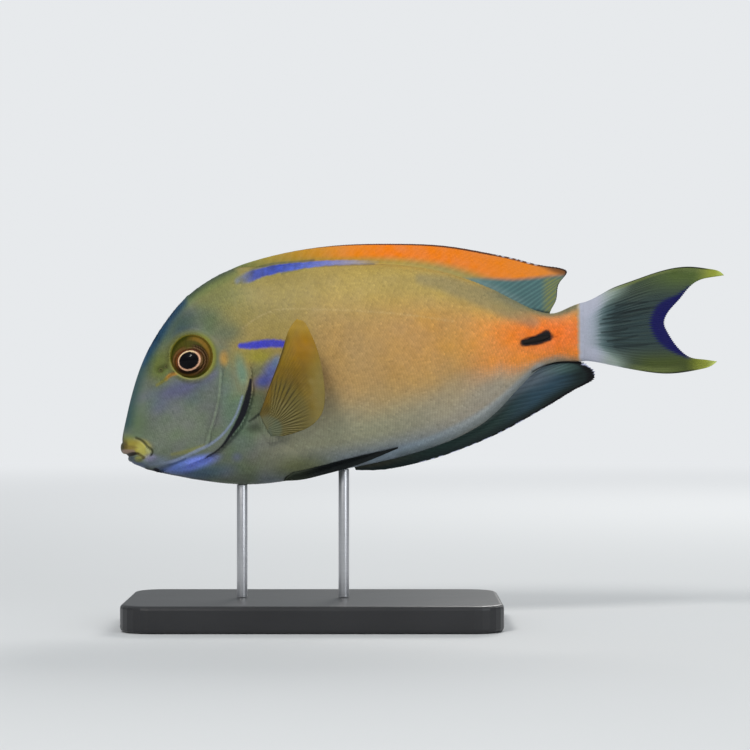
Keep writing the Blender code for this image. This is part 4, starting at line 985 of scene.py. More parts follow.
eye = {
    "radius": 7.2, "bulge": 3.2, "sunk": 1.6, "turn": 0.85, "dome": 1.0, "domeReach": 3.9,
    "pupilAt": (-0.28, -1.4), "pupilTilt": 0.3, "pupilLong": 1.11, "pupil": 2.84, "ring": 3.2,
    "gloss": 0.17, "grid": (81, 128),
    "pupilBlack": (0.0008, 0.0008, 0.002), "ringPale": (0.92, 0.52, 0.33), "ringCream": (0.98, 0.72, 0.42),
    "olive": (0.062, 0.056, 0.008), "darkOliveAndBrowShade": (0.026, 0.03, 0.001), "gold": (0.23, 0.125, 0.02),
    "pink": (0.25, 0.13, 0.065), "shadow": (0.014, 0.005, 0.001), "rust": (0.19, 0.052, 0.012),
    "tan": (0.17, 0.09, 0.03), "red": (0.075, 0.014, 0.006), "soot": (0.006, 0.003, 0.002),
    "bark": (0.055, 0.02, 0.003), "edge": (0.18, 0.16, 0.02),
}


def paintEye(turn, reach, toPupil):
    # rings about the pupil whose strength follows the turn about it: bright arcs to the rear,
    # red and tan in front, soot below and a dark olive band above, which is painted shade from
    # the brow, inside an olive-gold edge; the fourth channel is the pupil's gloss
    rear, fore = smooth(np.cos(turn - 0.15), 0.0, 0.7), smooth(-np.cos(turn), 0.1, 0.8)
    top, low = smooth(np.sin(turn), 0.1, 0.8), smooth(-np.sin(turn), 0.15, 0.8)
    streak = 0.5 + 0.5 * np.sin(turn * 37 + 2 * np.sin(turn * 5)) * np.sin(turn * 11 + 1)
    colour = layer(
        plain(turn, eye["olive"]), eye,
        # painted shade from the brow over the top of the iris
        ("darkOliveAndBrowShade", 0.8 * top * smooth(reach, 4.8, 5.6)),
        ("gold", 0.9 * smooth(np.cos(turn - 0.55), 0.25, 0.85) * smooth(reach, 4.3, 5.1)),
        ("bark", 0.9 * np.maximum(fore, 0.9 * low) * fall(toPupil, 4.9, 5.6)),
        ("tan", 0.85 * fore * bell(toPupil, 4.75, 0.3)),
        ("rust", 0.8 * fore * bell(toPupil, 3.7, 0.25)))
    arc = 0.5 + 0.5 * np.sin(2 * math.pi * (toPupil ** 1.25 - 4.75 + 0.25 * np.sin(turn * 2)) / 1.25)
    within = rear * fall(toPupil, 5.0, 5.7)
    colour = layer(
        colour, eye,
        ("shadow", 0.85 * within),
        ("pink", 0.65 * within * smooth(arc, 0.6, 0.98) * (1 - 0.6 * smooth(toPupil, 4.4, 5.2))),
        ("tan", 0.7 * smooth(np.cos(turn), 0.55, 0.95) * fall(toPupil, 3.6, 4.0)),
        ("red", 0.85 * top * fall(toPupil, 3.6, 4.1)),
        ("pink", 0.35 * top * bell(toPupil, 4.25, 0.16)),
        ("soot", 0.95 * low * fall(toPupil, 4.0, 4.5)),
        ("tan", 0.35 * low * bell(toPupil, 4.7, 0.15)))
    colour = colour * (0.86 + 0.28 * streak * (1 - 0.5 * rear))[..., None]
    colour = layer(
        colour, eye,
        ("darkOliveAndBrowShade", 0.75 * bell(reach, 6.05, 0.26)),
        ("edge", 0.8 * smooth(reach, 6.3, 6.6)))
    pale = wash(plain(turn, eye["ringPale"]), eye["ringCream"], smooth(np.cos(turn - 1.9), 0.2, 0.9))
    colour = wash(colour, pale, fall(toPupil, eye["ring"] - 0.14, eye["ring"] + 0.14))
    colour = wash(colour, eye["pupilBlack"], fall(toPupil, eye["pupil"] - 0.12, eye["pupil"] + 0.12))
    gloss = eye["gloss"] * fall(toPupil, 2.5, 3.1)
    return np.concatenate([np.clip(colour, 0, 1), gloss[..., None]], axis=-1)


def buildEye(side, name, node):
    # an ellipsoid: its depth follows the cosine and its radius the sine of the angle from its
    # axis, with a low dome over the pupil
    cx, cz = orbit["centre"]
    slopeX, slopeZ = sideSlope(cx, cz, 1.5)
    facing = unit(np.array([-slopeX * eye["turn"], side, -slopeZ * eye["turn"]]))
    centre = np.array([cx, side * sideAt(cx, cz), cz]) - facing * eye["sunk"]
    upward = unit(np.array([0.0, 0.0, 1.0]) - facing * facing[2])
    back = np.cross(upward, facing)
    back = back if back[0] > 0 else -back
    rows, columns = eye["grid"]
    tilt, around = np.meshgrid(np.linspace(0.0, math.pi, rows), roundTurn(columns), indexing="ij")
    out, reach = eye["bulge"] * np.cos(tilt), eye["radius"] * np.sin(tilt)
    u, w = reach * np.cos(around), reach * np.sin(around)
    du, dw = u - eye["pupilAt"][0], w - eye["pupilAt"][1]
    c, s = math.cos(eye["pupilTilt"]), math.sin(eye["pupilTilt"])
    toPupil = np.hypot((du * c + dw * s) / eye["pupilLong"], (dw * c - du * s) * eye["pupilLong"])
    dome = eye["dome"] * np.clip(1 - (toPupil / eye["domeReach"]) ** 2, 0, 1) ** 1.5 * (tilt < 1.5)
    points = centre + (out + dome)[..., None] * facing + u[..., None] * back + w[..., None] * upward
    colour = paintEye(np.arctan2(dw, du), reach, toPupil)
    triangles = halved(gridFaces(rows, columns, wrapColumns=True))
    points = points.reshape(-1, 3)
    makePiece(name, points, faceOut(points - centre, triangles), eyeMaterial, colour, (node,))


buildEye(-1, "eyeballLeft", "eye_left")
buildEye(1, "eyeballRight", "eye_right")
print("eyes made")


# Fins

def rayPattern(s, v, count, branches):
    # a crest along each ray, which doubles at each share of the height in branches
    crest = 0.5 + 0.5 * np.cos(2 * math.pi * (s * count - 0.5))
    for step, start in enumerate(branches):
        repeats = 2 ** (step + 1)
        finer = 0.5 + 0.5 * np.cos(2 * math.pi * (s * count * repeats - 0.5))
        crest = crest + (finer - crest) * smooth(v, start, start + 0.12)
    return crest ** 2.2


plainFin = {"spines": 0, "spineNotch": 0.0, "spineThick": 1.25, "rootFall": 1.6, "wave": (0.0, 1.0, 0.0),
            "rayThin": 0.65, "edgeThin": 0.55}


def buildFin(name, edges, fin, paint, replaced, mirror=False):
    # a Coons patch: the blends between facing edges, less the blend of the corners; each face
    # lies half a thickness off it, which is the membrane plus the crest of each ray
    fin = {**plainFin, **fin}
    columns, rows = fin["grid"]
    root, margin, front, rear = (curveThrough(edge) for edge in edges)
    line, rise = np.linspace(0, 1, columns), np.linspace(0, 1, rows)
    s, v = np.meshgrid(line, rise, indexing="ij")
    across, down, count = s[..., None], v[..., None], fin["rays"]
    corners = (1 - across) * (1 - down) * root(0.0) + across * (1 - down) * root(1.0)
    corners = corners + (1 - across) * down * margin(0.0) + across * down * margin(1.0)
    middle = (1 - down) * root(line)[:, None] + down * margin(line)[:, None]
    middle = middle + (1 - across) * front(rise)[None] + across * rear(rise)[None] - corners
    spiny = s < fin["spines"] / count
    crest = np.where(spiny, rayPattern(s, v, count, ()), rayPattern(s, v, count, fin["branches"]))
    notch = np.where(spiny, fin["spineNotch"], fin["notch"])
    tooth = np.maximum(crest[:, -1:], fall(np.minimum(s, 1 - s), 0.0, 0.02))
    reach = 1 - notch * (1 - tooth)
    middle = middle[:, :1] + (middle - middle[:, :1]) * reach[..., None]
    swing, turns, start = fin["wave"]
    middle[..., 1] += swing * v ** 2 * np.sin(turns * s + start)
    half = fin["membrane"] + fin["ray"] * (1 - fin["rayThin"] * v) * crest
    half = np.where(spiny, half * fin["spineThick"], half)
    rootHalf = fin["rootHalf"](s) if callable(fin["rootHalf"]) else fin["rootHalf"]
    fade = np.clip(1 - v / fin["rootShare"], 0, 1) ** fin["rootFall"]
    half = half + np.maximum(rootHalf - half, 0) * fade
    half = half * (1 - fin["edgeThin"] * smooth(v, 0.9, 1.0))
    if "hugging" in fin:
        known = np.arange(0, columns, 6)
        sides = np.array([sideAt(x, z) for x, _, z in middle[known].reshape(-1, 3)]).reshape(-1, rows)
        sides = np.stack([np.interp(np.arange(columns), known, row) for row in sides.T], axis=1)
        middle[..., 1] = np.minimum(middle[..., 1], -sides - half - fin["hugging"])
    normal = gridNormals(middle) * half[..., None]
    points = np.concatenate([(middle + normal).reshape(-1, 3), (middle - normal).reshape(-1, 3)])
    colour = np.clip(paint(s, v, crest, middle), 0.002, 0.95).reshape(-1, 3)
    points = points * mirrored if mirror else points
    colour, uvs = np.tile(colour, (2, 1)), np.tile(np.stack([s.ravel(), v.ravel()], axis=1), (2, 1))
    faces = faceOut(points - points.mean(axis=0), slabFaces(columns, rows))
    makePiece(name, points, faces, fin["material"], colour, replaced, uvs)


def upright(points):
    # points of the side view put on the middle plane
    return [(x, 0.0, z) for x, z in points]


def middleEdges(fin, rail, sunk):
    # a root line just inside the flesh, the outer margin, and straight ends between them
    xs = np.linspace(*fin["baseX"], 30)
    base = np.stack([xs, 0 * xs, edgeHeight(xs, rail) + sunk], axis=1)
    margin = upright(fin["margin"])
    return base, margin, [base[0], margin[0]], [base[-1], margin[-1]]


dorsal = {
    "grid": (316, 44), "baseX": (31.5, 128.6), "rays": 35, "spines": 9, "membrane": 0.15, "ray": 0.11,
    "rootHalf": 0.9, "rootShare": 0.14, "spineNotch": 0.006, "notch": 0.01, "branches": (0.5, 0.78),
    "wave": (0.4, 7.0, 0.0), "material": finMaterial,
    "margin": ((32.0, 63.8), (35.2, 65.3), (38.9, 66.6), (44.9, 68.3), (53.9, 70.2), (65.9, 71.7),
               (82.0, 72.1), (97.0, 71.5), (110.9, 69.2), (119.5, 67.4), (127.5, 65.5), (134.0, 63.4),
               (132.3, 61.2), (131.3, 59.4), (131.0, 57.0), (130.4, 54.5), (129.2, 52.9)),
    "highAt": (33, 38, 44, 52, 60, 68, 80, 100, 122, 134),
    "high": ((0.1, 0.2, 0.09), (0.2, 0.22, 0.06), (0.33, 0.25, 0.04), (0.43, 0.24, 0.026),
             (0.6, 0.25, 0.02), (0.78, 0.235, 0.014), (0.88, 0.21, 0.01), (0.85, 0.22, 0.02),
             (0.78, 0.23, 0.022), (0.68, 0.235, 0.03)),
    "lowAt": (33, 44, 54, 66, 84, 100, 116),
    "low": ((0.11, 0.16, 0.065), (0.28, 0.24, 0.05), (0.36, 0.24, 0.035), (0.42, 0.26, 0.035),
            (0.44, 0.32, 0.08), (0.36, 0.29, 0.095), (0.31, 0.24, 0.06)),
    "teal": (0.094, 0.195, 0.192), "tealDark": (0.032, 0.074, 0.084), "tealHaze": (0.16, 0.24, 0.235),
    "yellow": (0.225, 0.225, 0.05), "black": (0.008, 0.008, 0.01), "pale": (0.6, 0.62, 0.7),
}


def paintDorsal(s, v, crest, middle):
    # gold at the front, orange towards the margin, olive along the root, teal low at the rear
    x, z = middle[..., 0], middle[..., 2]
    rise = z - edgeHeight(x, 0)
    full = np.interp(x, (34, 60, 90, 110, 122), (2.0, 4.8, 6.0, 8.0, 10.0))
    colour = byPlace(x, dorsal["lowAt"], dorsal["low"])
    up = smooth(rise / full, 0.1, np.interp(x, (50, 66, 90), (0.75, 0.55, 0.6)))
    colour = wash(colour, byPlace(x, dorsal["highAt"], dorsal["high"]), up)
    line = np.interp(x, (98, 104, 110, 118, 124, 134), (61.2, 61.6, 61.7, 61.4, 61.9, 63.0))
    inside = smooth(x, 99, 106) * fall(z, line - 1.1, line + 0.9)
    colour = layer(
        colour, dorsal,
        ("teal", inside),
        ("tealHaze", 0.6 * inside * fall(rise, 0.6, 3.2) * fall(x, 118, 124)))
    streak = rayPattern(s, v, 70, ())
    colour = wash(colour, dorsal["tealDark"], 0.55 * inside * smooth(x, 104, 122) * (1 - streak))
    hind = smooth(x, 125.5, 128.6) * fall(z, 61.0, 62.6)
    colour = wash(colour, dorsal["yellow"], hind * (0.35 + 0.6 * streak))
    colour = colour * (0.99 + 0.02 * crest)[..., None]
    colour = layBackBand(colour, x, z)
    colour = wash(colour, dorsal["black"], 0.7 * smooth(x, 122, 126) * fall(rise, 0.3, 1.0))
    margin = np.interp(x, (38, 70, 96, 110, 134), (0.97, 0.95, 0.935, 0.94, 0.965))
    colour = layer(
        colour, dorsal,
        ("black", 0.9 * smooth(v, margin - 0.015, margin + 0.015) * smooth(x, 38, 70)),
        ("black", 0.7 * blot(x, z, (131.5, 64.0), (5.0, 0.9), 0.8, -0.3)))
    dash = smooth(np.sin(x * 3.4 + np.sin(x)), 0.1, 0.6) * smooth(x, 111, 114) * fall(x, 124, 126)
    return wash(colour, dorsal["pale"], 0.9 * dash * smooth(v, 0.962, 0.978))


anal = {
    "grid": (244, 44), "baseX": (70.0, 125.3), "rays": 27, "spines": 3, "membrane": 0.13, "ray": 0.14,
    "rootHalf": 0.8, "rootShare": 0.16, "spineNotch": 0.03, "notch": 0.03, "branches": (0.5, 0.78),
    "wave": (0.4, 6.0, 1.0), "material": darkFinMaterial,
    "margin": ((70.6, 4.2), (77.9, 4.2), (86.9, 5.7), (95.9, 8.1), (104.9, 11.4), (113.9, 15.3),
               (122.9, 20.2), (131.9, 25.5), (138.9, 29.5), (142.8, 32.7), (142.1, 34.4), (140.7, 35.6),
               (138.4, 36.8), (134.0, 37.4), (129.2, 37.0)),
    "dark": (0.01, 0.018, 0.018), "green": (0.02, 0.04, 0.036), "front": (0.034, 0.036, 0.026),
    "blue": (0.028, 0.06, 0.088), "moss": (0.06, 0.115, 0.105), "haze": (0.165, 0.2, 0.235),
    "grey": (0.08, 0.1, 0.095), "black": (0.003, 0.003, 0.004), "pale": (0.62, 0.66, 0.9),
    "arc": ((138.6, 36.0), (140.7, 35.4), (142.1, 34.2), (142.8, 32.8)),
    "analSeamShadow": ((123.6, 33.7), (126.5, 35.2), (129.5, 36.1), (132.6, 36.5), (137.0, 36.3), (139.6, 35.6)),
}


def paintAnal(s, v, crest, middle):
    # dark green, browner in front and black at the margin, with a blue-grey hind root and a painted shadow
    # line where it meets the body
    x, z = middle[..., 0], middle[..., 2]
    colour = layer(
        plain(s, anal["green"]), anal,
        ("front", fall(x, 76, 94)),
        ("dark", smooth(v, 0.3, 0.85)),
        ("grey", 0.8 * fall(v, 0.0, 0.24) * fall(x, 116, 128)),
        ("blue", smooth(x, 112, 126) * fall(v, 0.5, 0.85) * 0.9),
        ("moss", blot(x, z, (131.0, 34.8), (5.5, 1.7), 0.8, 0.1) * 0.8),
        ("haze", blot(x, z, (119.5, 30.6), (8.5, 2.4), 0.8, 0.62) * 0.8),
        ("haze", blot(x, z, (126.5, 32.6), (6.0, 2.2), 0.9, 0.55) * 0.32))
    fine = rayPattern(s, v, 54, ())
    colour = colour * (0.8 + 0.2 * crest + 0.15 * fine)[..., None]
    colour = layer(
        colour, anal,
        ("black", 0.95 * smooth(v, 0.86, 0.95) * smooth(x, 92, 120)),
        # painted shadow along the seam with the body
        ("black", 0.95 * stroke(x, z, anal["analSeamShadow"], (0.0, 0.14, 0.1), 0.35)),
        ("pale", 0.95 * stroke(x, z, anal["arc"], (0.05, 0.26, 0.22), 0.18)))
    dash = smooth(np.sin(x * 1.9 + 1.5 * np.sin(x * 0.6)), -0.1, 0.4)
    dash = dash * smooth(x, 88, 92) * fall(x, 127, 130)
    start = np.interp(x, (88, 100, 130), (0.93, 0.955, 0.975))
    return wash(colour, anal["pale"], 0.9 * dash * smooth(v, start, start + 0.015))


tail = {
    "root": ((138.6, 54.35), (138.6, 45.8), (138.6, 37.0)), "rays": 18, "membrane": 0.14, "ray": 0.15,
    "rootShare": 0.45, "rootFall": 0.85, "notch": 0.014, "branches": (0.28, 0.62),
    "grid": (361, 66), "material": finMaterial,
    "rootHalf": lambda s: 2.33 * np.sqrt(np.clip(1 - np.abs(2 * s - 1) ** 2.1, 0, 1)) + 0.12,
    "upper": ((138.6, 54.35), (141.2, 55.35), (146.9, 58.45), (153.0, 60.8), (158.9, 62.9), (164.9, 64.6),
              (170.9, 65.2), (176.9, 64.5), (180.0, 63.6), (181.1, 62.6)),
    "lower": ((138.6, 37.0), (141.2, 36.8), (146.9, 35.7), (152.9, 34.5), (158.9, 33.5), (164.0, 33.1),
              (169.0, 33.5), (173.9, 34.4), (177.5, 35.6), (179.0, 36.8)),
    "hind": ((181.1, 62.6), (177.5, 62.1), (173.6, 61.1), (170.3, 58.5), (168.0, 55.6), (165.6, 53.0),
             (163.9, 50.6), (163.3, 48.1), (164.2, 45.8), (166.0, 42.8), (168.8, 39.6), (171.2, 38.0),
             (174.8, 37.4), (179.0, 36.8)),
    "rootAt": (136.9, 138.2, 140.0, 141.6, 143.0, 144.0, 145.6, 148.5),
    "rootTones": ((0.4, 0.415, 0.5), (0.4, 0.415, 0.5), (0.37, 0.395, 0.475), (0.31, 0.35, 0.41),
                  (0.22, 0.27, 0.3), (0.12, 0.175, 0.185), (0.06, 0.1, 0.105), (0.026, 0.048, 0.05)),
    "paleEdge": (0.26, 0.32, 0.24), "middle": (0.04, 0.06, 0.046), "olive": (0.085, 0.125, 0.032),
    "rim": (0.18, 0.215, 0.065), "lowOlive": (0.058, 0.08, 0.016), "yellow": (0.3, 0.335, 0.04),
    "tip": (0.52, 0.6, 0.15), "blue": (0.0, 0.0, 0.078), "edge": (0.01, 0.014, 0.008),
    "ink": (0.007, 0.014, 0.015), "white": (0.6, 0.64, 0.66),
    "bluePatch": ((170.6, 58.6), (167.3, 55.4), (163.0, 51.6), (162.0, 47.8), (163.8, 43.6), (167.0, 40.6),
                  (170.6, 38.4)),
    "blueWidth": (0.05, 0.7, 2.0, 2.5, 1.8, 0.9, 0.1),
    "streaks": (
        ((144.5, 49.4), (152.0, 50.2), (158.5, 51.6)), ((146.0, 50.6), (153.0, 51.8), (158.5, 52.6)),
        ((148.5, 53.4), (154.0, 54.3), (158.0, 54.6)), ((144.2, 45.4), (148.5, 45.8), (152.0, 46.6)),
        ((146.0, 42.8), (150.0, 43.4), (155.0, 44.6)), ((143.8, 48.0), (149.0, 48.6), (153.0, 49.0)),
        ((148.0, 41.2), (153.0, 41.4), (158.0, 41.8)), ((151.0, 51.4), (158.0, 52.7), (165.5, 53.4))),
}


def paintTail(s, v, crest, middle):
    # white root, dark green middle, olive lobes to yellow tips, and deep blue behind the fork
    x, z = middle[..., 0], middle[..., 2]
    high, low = fall(s, 0.06, 0.34), smooth(s, 0.68, 0.94)
    cloud = softNoise(s * 60, v * 2.2, 0 * s, 1.7, 31)
    reach = x - 5.5 * high - 6.0 * low + 0.8 * cloud * smooth(x, 141, 144)
    colour = byPlace(reach, tail["rootAt"], tail["rootTones"])
    edge = np.maximum(high, low) * smooth(x, 142, 147) * fall(x, 152, 158)
    colour = wash(colour, tail["paleEdge"], 0.65 * edge)
    lobe = np.maximum(fall(s, 0.2, 0.46), smooth(s, 0.6, 0.82))
    colour = layer(
        colour, tail,
        ("middle", 0.9 * lobe * smooth(x, 148, 155)),
        ("olive", fall(s, 0.14, 0.36) * smooth(x, 150, 168)),
        ("lowOlive", smooth(s, 0.68, 0.84) * smooth(x, 150, 160)))
    rim = fall(s, 0.035, 0.11)
    colour = layer(
        colour, tail,
        ("rim", 0.75 * rim * smooth(x, 144, 152) * (1 - 0.5 * smooth(x, 160, 168))),
        ("rim", 0.45 * smooth(s, 0.86, 0.95) * smooth(x, 150, 156) * fall(x, 162, 172)))
    ray = rayPattern(s, v, 36, ())
    colour = colour * (0.98 + (0.12 * crest + 0.14 * ray - 0.12) * smooth(x, 142, 150))[..., None]
    inside = smooth(x, 144, 148) * fall(x, 158, 166) * smooth(s, 0.16, 0.3) * fall(s, 0.66, 0.8)
    colour = layer(
        colour, tail,
        ("ink", 0.6 * inside * smooth(cloud, 0.15, 0.75)),
        ("middle", 0.35 * inside * smooth(-cloud, 0.3, 0.9)))
    for path in tail["streaks"]:
        colour = wash(colour, tail["ink"], 0.65 * stroke(x, z, path, (0.0, 0.14, 0.0), 0.5))
    ragged = x + 0.9 * (rayPattern(s, v, 54, ()) - 0.5)
    colour = wash(colour, tail["blue"], 0.97 * stroke(ragged, z, tail["bluePatch"], tail["blueWidth"], 1.5))
    end = np.where(z > 50, x, x + 2.6)
    colour = layer(
        colour, tail,
        ("yellow", 0.9 * smooth(end, 171.5, 178.5)),
        ("tip", 0.8 * smooth(end, 178.0, 181.0)))
    dark = fall(s, 0.01, 0.022) * smooth(x, 145, 148) * fall(x, 174, 178)
    dark = np.maximum(dark, smooth(s, 0.978, 0.99) * smooth(x, 155, 158) * fall(x, 170, 174))
    white = smooth(s, 0.975, 0.99) * smooth(x, 143, 145) * fall(x, 149, 151)
    return layer(colour, tail, ("edge", 0.92 * dark), ("white", 0.6 * white))


pectoral = {
    "root": ((42.6, 21.4), (44.1, 18.1), (46.0, 14.9)),
    "leading": ((42.6, 21.4), (45.3, 29.2), (47.6, 35.0), (49.7, 41.2), (52.0, 47.0), (53.7, 49.1)),
    "margin": ((53.7, 49.1), (55.6, 48.6), (57.2, 46.3), (59.4, 41.2), (61.0, 35.0), (61.9, 26.7),
               (61.0, 21.6), (59.3, 19.2), (56.3, 17.0), (52.1, 15.5)),
    "lower": ((46.0, 14.9), (48.8, 14.7), (52.1, 15.5)),
    "grid": (193, 60), "lean": 0.62, "cup": 0.006, "rays": 16, "membrane": 0.11, "ray": 0.15,
    "rootHalf": 0.75, "rootShare": 0.16, "notch": 0.012, "branches": (0.42, 0.72), "material": finMaterial,
    "gold": (0.28, 0.175, 0.016), "brown": (0.185, 0.108, 0.008), "top": (0.4, 0.25, 0.038),
    "amber": (0.4, 0.18, 0.009), "hind": (0.27, 0.21, 0.06), "olive": (0.17, 0.14, 0.034),
    "dark": (0.036, 0.028, 0.008), "straw": (0.3, 0.255, 0.105), "base": (0.05, 0.055, 0.024),
    "lobe": (0.12, 0.15, 0.095), "foot": (0.105, 0.125, 0.085), "shade": (0.15, 0.125, 0.04),
    "brownShade": (0.095, 0.066, 0.006), "centre": (44.6, 16.4),
}


def pectoralPoint(x, z):
    # the outline leans out from its root line in proportion to the distance, less a little cup
    (x0, z0), (x1, z1) = pectoral["root"][0], pectoral["root"][-1]
    length = math.hypot(x1 - x0, z1 - z0)
    away = max(0.0, ((x - x0) * (z0 - z1) + (z - z0) * (x1 - x0)) / length)
    share = min(max(((x - x0) * (x1 - x0) + (z - z0) * (z1 - z0)) / length ** 2, 0), 1)
    out = sideAt(x0 + (x1 - x0) * share, z0 + (z1 - z0) * share) + 0.45
    return x, -(out + pectoral["lean"] * away - pectoral["cup"] * away ** 2), z


def paintPectoral(s, v, crest, middle):
    # rays spread from a grey-green root: straw on dark low down, brown in the middle, gold outside
    side, up = seenAt(middle[..., 0], middle[..., 1], middle[..., 2])
    dx, dz = side - pectoral["centre"][0], up - pectoral["centre"][1]
    away, turn = np.hypot(dx, dz), np.arctan2(dz, dx)
    colour = layer(
        plain(s, pectoral["gold"]), pectoral,
        ("brown", 0.9 * fall(away, 16, 26) * smooth(turn, 0.7, 1.1)),
        ("amber", 0.65 * blot(side, up, (54.9, 41.0), (3.4, 5.2), 0.8, -0.15)),
        ("brown", 0.6 * blot(side, up, (54.0, 34.0), (3.0, 5.0), 0.9, -0.15)),
        ("top", smooth(up, 43.0, 48.0) * 0.9))
    cloud = softNoise(side, 0 * side, up, 3.0, 29)
    colour = layer(
        colour, pectoral,
        ("hind", smooth(v + 0.05 * cloud, 0.7, 0.95) * smooth(s, 0.25, 0.5) * 0.8),
        # painted shade: a dark brown patch over the middle of the fin
        ("brownShade", 0.5 * blot(side, up, (52.8, 25.6), (3.0, 6.0), 0.9, 0.3)))
    colour = colour * (1 + 0.07 * cloud)[..., None]
    below = fall(turn, 0.75, 1.15)
    colour = wash(colour, pectoral["shade"], 0.85 * below * (1 - 0.75 * smooth(away, 11.5, 16.5)))
    limit = 8.0 + 4.5 * smooth(turn, 0.5, 1.2)
    low = fall(turn, 1.4, 1.6) * smooth(away, 3.4, 5.0) * fall(away, limit, limit + 5.5)
    ray = 0.5 + 0.5 * np.cos(turn * 60 + 1.2 * np.sin(turn * 9))
    colour = layer(
        colour, pectoral,
        ("lobe", 0.75 * fall(away, 3.4, 5.8)),
        ("base", 0.6 * bell(away, 6.0, 1.8)),
        ("olive", 0.6 * low),
        ("shade", 0.5 * low * fall(away, 6.5, 11.0)),
        ("dark", 0.8 * low * fall(ray, 0.0, 0.5)),
        ("straw", 0.5 * low * smooth(ray, 0.65, 1.0) * fall(away, 7.5, 12.0)),
        ("foot", 0.8 * fall(v, 0.02, 0.1) * fall(turn, 1.3, 1.7)))
    colour = colour * (0.92 + 0.12 * crest)[..., None]
    return wash(colour, pectoral["dark"], 0.75 * fall(s, 0.008, 0.028) * fall(up, 40, 47))


def pectoralEdges():
    # root, margin, leading edge and lower edge, leaned out from the body
    return [[pectoralPoint(*p) for p in pectoral[key]] for key in ("root", "margin", "leading", "lower")]


pelvic = {
    "root": ((49.0, 1.1), (50.4, 2.4), (52.2, 3.5)),
    "lower": ((49.0, 1.1), (54.2, 1.4), (60.0, 2.7), (66.0, 4.3), (72.0, 6.2), (78.0, 8.6), (83.3, 10.9)),
    "upper": ((52.2, 3.5), (60.0, 5.5), (66.0, 7.1), (72.0, 8.6), (78.0, 10.0), (83.4, 11.4)),
    "out": ((49.0, 3.3), (56.0, 4.1), (66.0, 4.9), (76.0, 5.7), (84.0, 6.4)),
    "rays": 6, "membrane": 0.12, "ray": 0.16, "rootHalf": 0.5, "rootShare": 0.2, "notch": 0.01,
    "grid": (73, 70), "spines": 1, "hugging": 0.35, "branches": (0.4, 0.7), "material": darkFinMaterial,
    "black": (0.005, 0.007, 0.008), "grey": (0.022, 0.03, 0.026), "moss": (0.045, 0.055, 0.035),
}


def paintPelvic(s, v, crest, middle):
    # black, with greyer rays in front and a mossy root
    return layer(
        plain(s, pelvic["black"]), pelvic,
        ("grey", 0.5 * crest * fall(s, 0.1, 0.9)),
        ("moss", 0.6 * fall(v, 0.05, 0.3)))


def pelvicEdges():
    # the outline at its distance out from the middle, hugging the belly
    def placed(points):
        return [(x, -float(np.interp(x, *np.array(pelvic["out"]).T)), z) for x, z in points]

    tip = [pelvic["lower"][-1], pelvic["upper"][-1]]
    return [placed(points) for points in (pelvic["root"], tip, pelvic["lower"], pelvic["upper"])]


buildFin("dorsalFin", middleEdges(dorsal, 0, -0.5), dorsal, paintDorsal, ("dorsal_fin",))
buildFin("analFin", middleEdges(anal, 4, 0.5), anal, paintAnal, ("anal_fin",))
tailEdges = [upright(tail[key]) for key in ("root", "hind", "upper", "lower")]
buildFin("tailFin", tailEdges, tail, paintTail, ("tail_fin_upper", "tail_fin_lower"))
for mirror, word, sideName in ((False, "Left", "left"), (True, "Right", "right")):
    buildFin("pectoralFin" + word, pectoralEdges(), pectoral, paintPectoral,
             ("pectoral_fin_" + sideName,), mirror)
    buildFin("pelvicFin" + word, pelvicEdges(), pelvic, paintPelvic,
             ("pelvic_fin_" + sideName,), mirror)
print("fins made")


# The folded blade at the tail root

blade = {"point": (120.4, 42.2), "hinge": (128.8, 44.4), "tall": 2.1, "thick": 1.4, "sunk": 0.4,
         "grid": (49, 28), "black": (0.004, 0.004, 0.004), "horn": (0.014, 0.01, 0.008)}


def buildBlade(side, word):
    # a lens carried along its middle line: its width follows a half circle, with a keen lower edge
    point, hinge = np.array(blade["point"]), np.array(blade["hinge"])
    rows, columns = blade["grid"]
    share, over = np.meshgrid(np.linspace(0, 1, rows), roundTurn(columns), indexing="ij")
    width = np.sqrt(np.clip(1 - (2 * share - 1) ** 2, 0, 1)) * (0.75 + 0.25 * share)
    way = unit(hinge - point)
    depth = [sideAt(*(point + (hinge - point) * t)) - blade["sunk"] for t in np.linspace(0, 1, rows)]
    keen = np.sign(np.cos(over)) * np.abs(np.cos(over)) ** 0.8
    across, out = blade["tall"] / 2 * width * keen, blade["thick"] / 2 * width * np.sin(over)
    x = point[0] + (hinge - point)[0] * share - way[1] * across
    z = point[1] + (hinge - point)[1] * share + way[0] * across
    points = np.stack([x, side * (np.array(depth)[:, None] + out), z], axis=-1).reshape(-1, 3)
    colour = wash(plain(x, blade["black"]), blade["horn"], 0.5 * smooth(np.sin(over), 0.75, 1.0))
    faces = faceOut(points - points.mean(axis=0), halved(gridFaces(rows, columns, wrapColumns=True)))
    makePiece("tailBlade" + word, points, faces, bladeMaterial, colour,
              ("tail_spine_" + word.lower(),))


buildBlade(-1, "Left")
buildBlade(1, "Right")
print("blades made")


# The stand

stand = {"rodRadius": 1.6, "rodX": (36.5, 67.0), "foot": 1.2, "bevel": 0.25, "steps": 48}
standFinishes = {
    "brushedRod": {
        "stretch": (1.0, 1.0, 40.0), "broad": (160.0, 5.0), "fine": (160.0, 5.0), "rough": (0.24, 0.42),
        "dark": (0.5, 0.5, 0.52, 1), "pale": (0.68, 0.68, 0.7, 1), "bump": 0.15, "metal": 1.0},
    "blackLacquer": {
        "stretch": (1.0, 1.0, 1.0), "broad": (30.0, 4.0), "fine": (1800.0, 2.0), "rough": (0.3, 0.44),
        "dark": (0.01, 0.01, 0.011, 1), "pale": (0.024, 0.024, 0.027, 1), "bump": 0.12, "metal": 0.0},
}


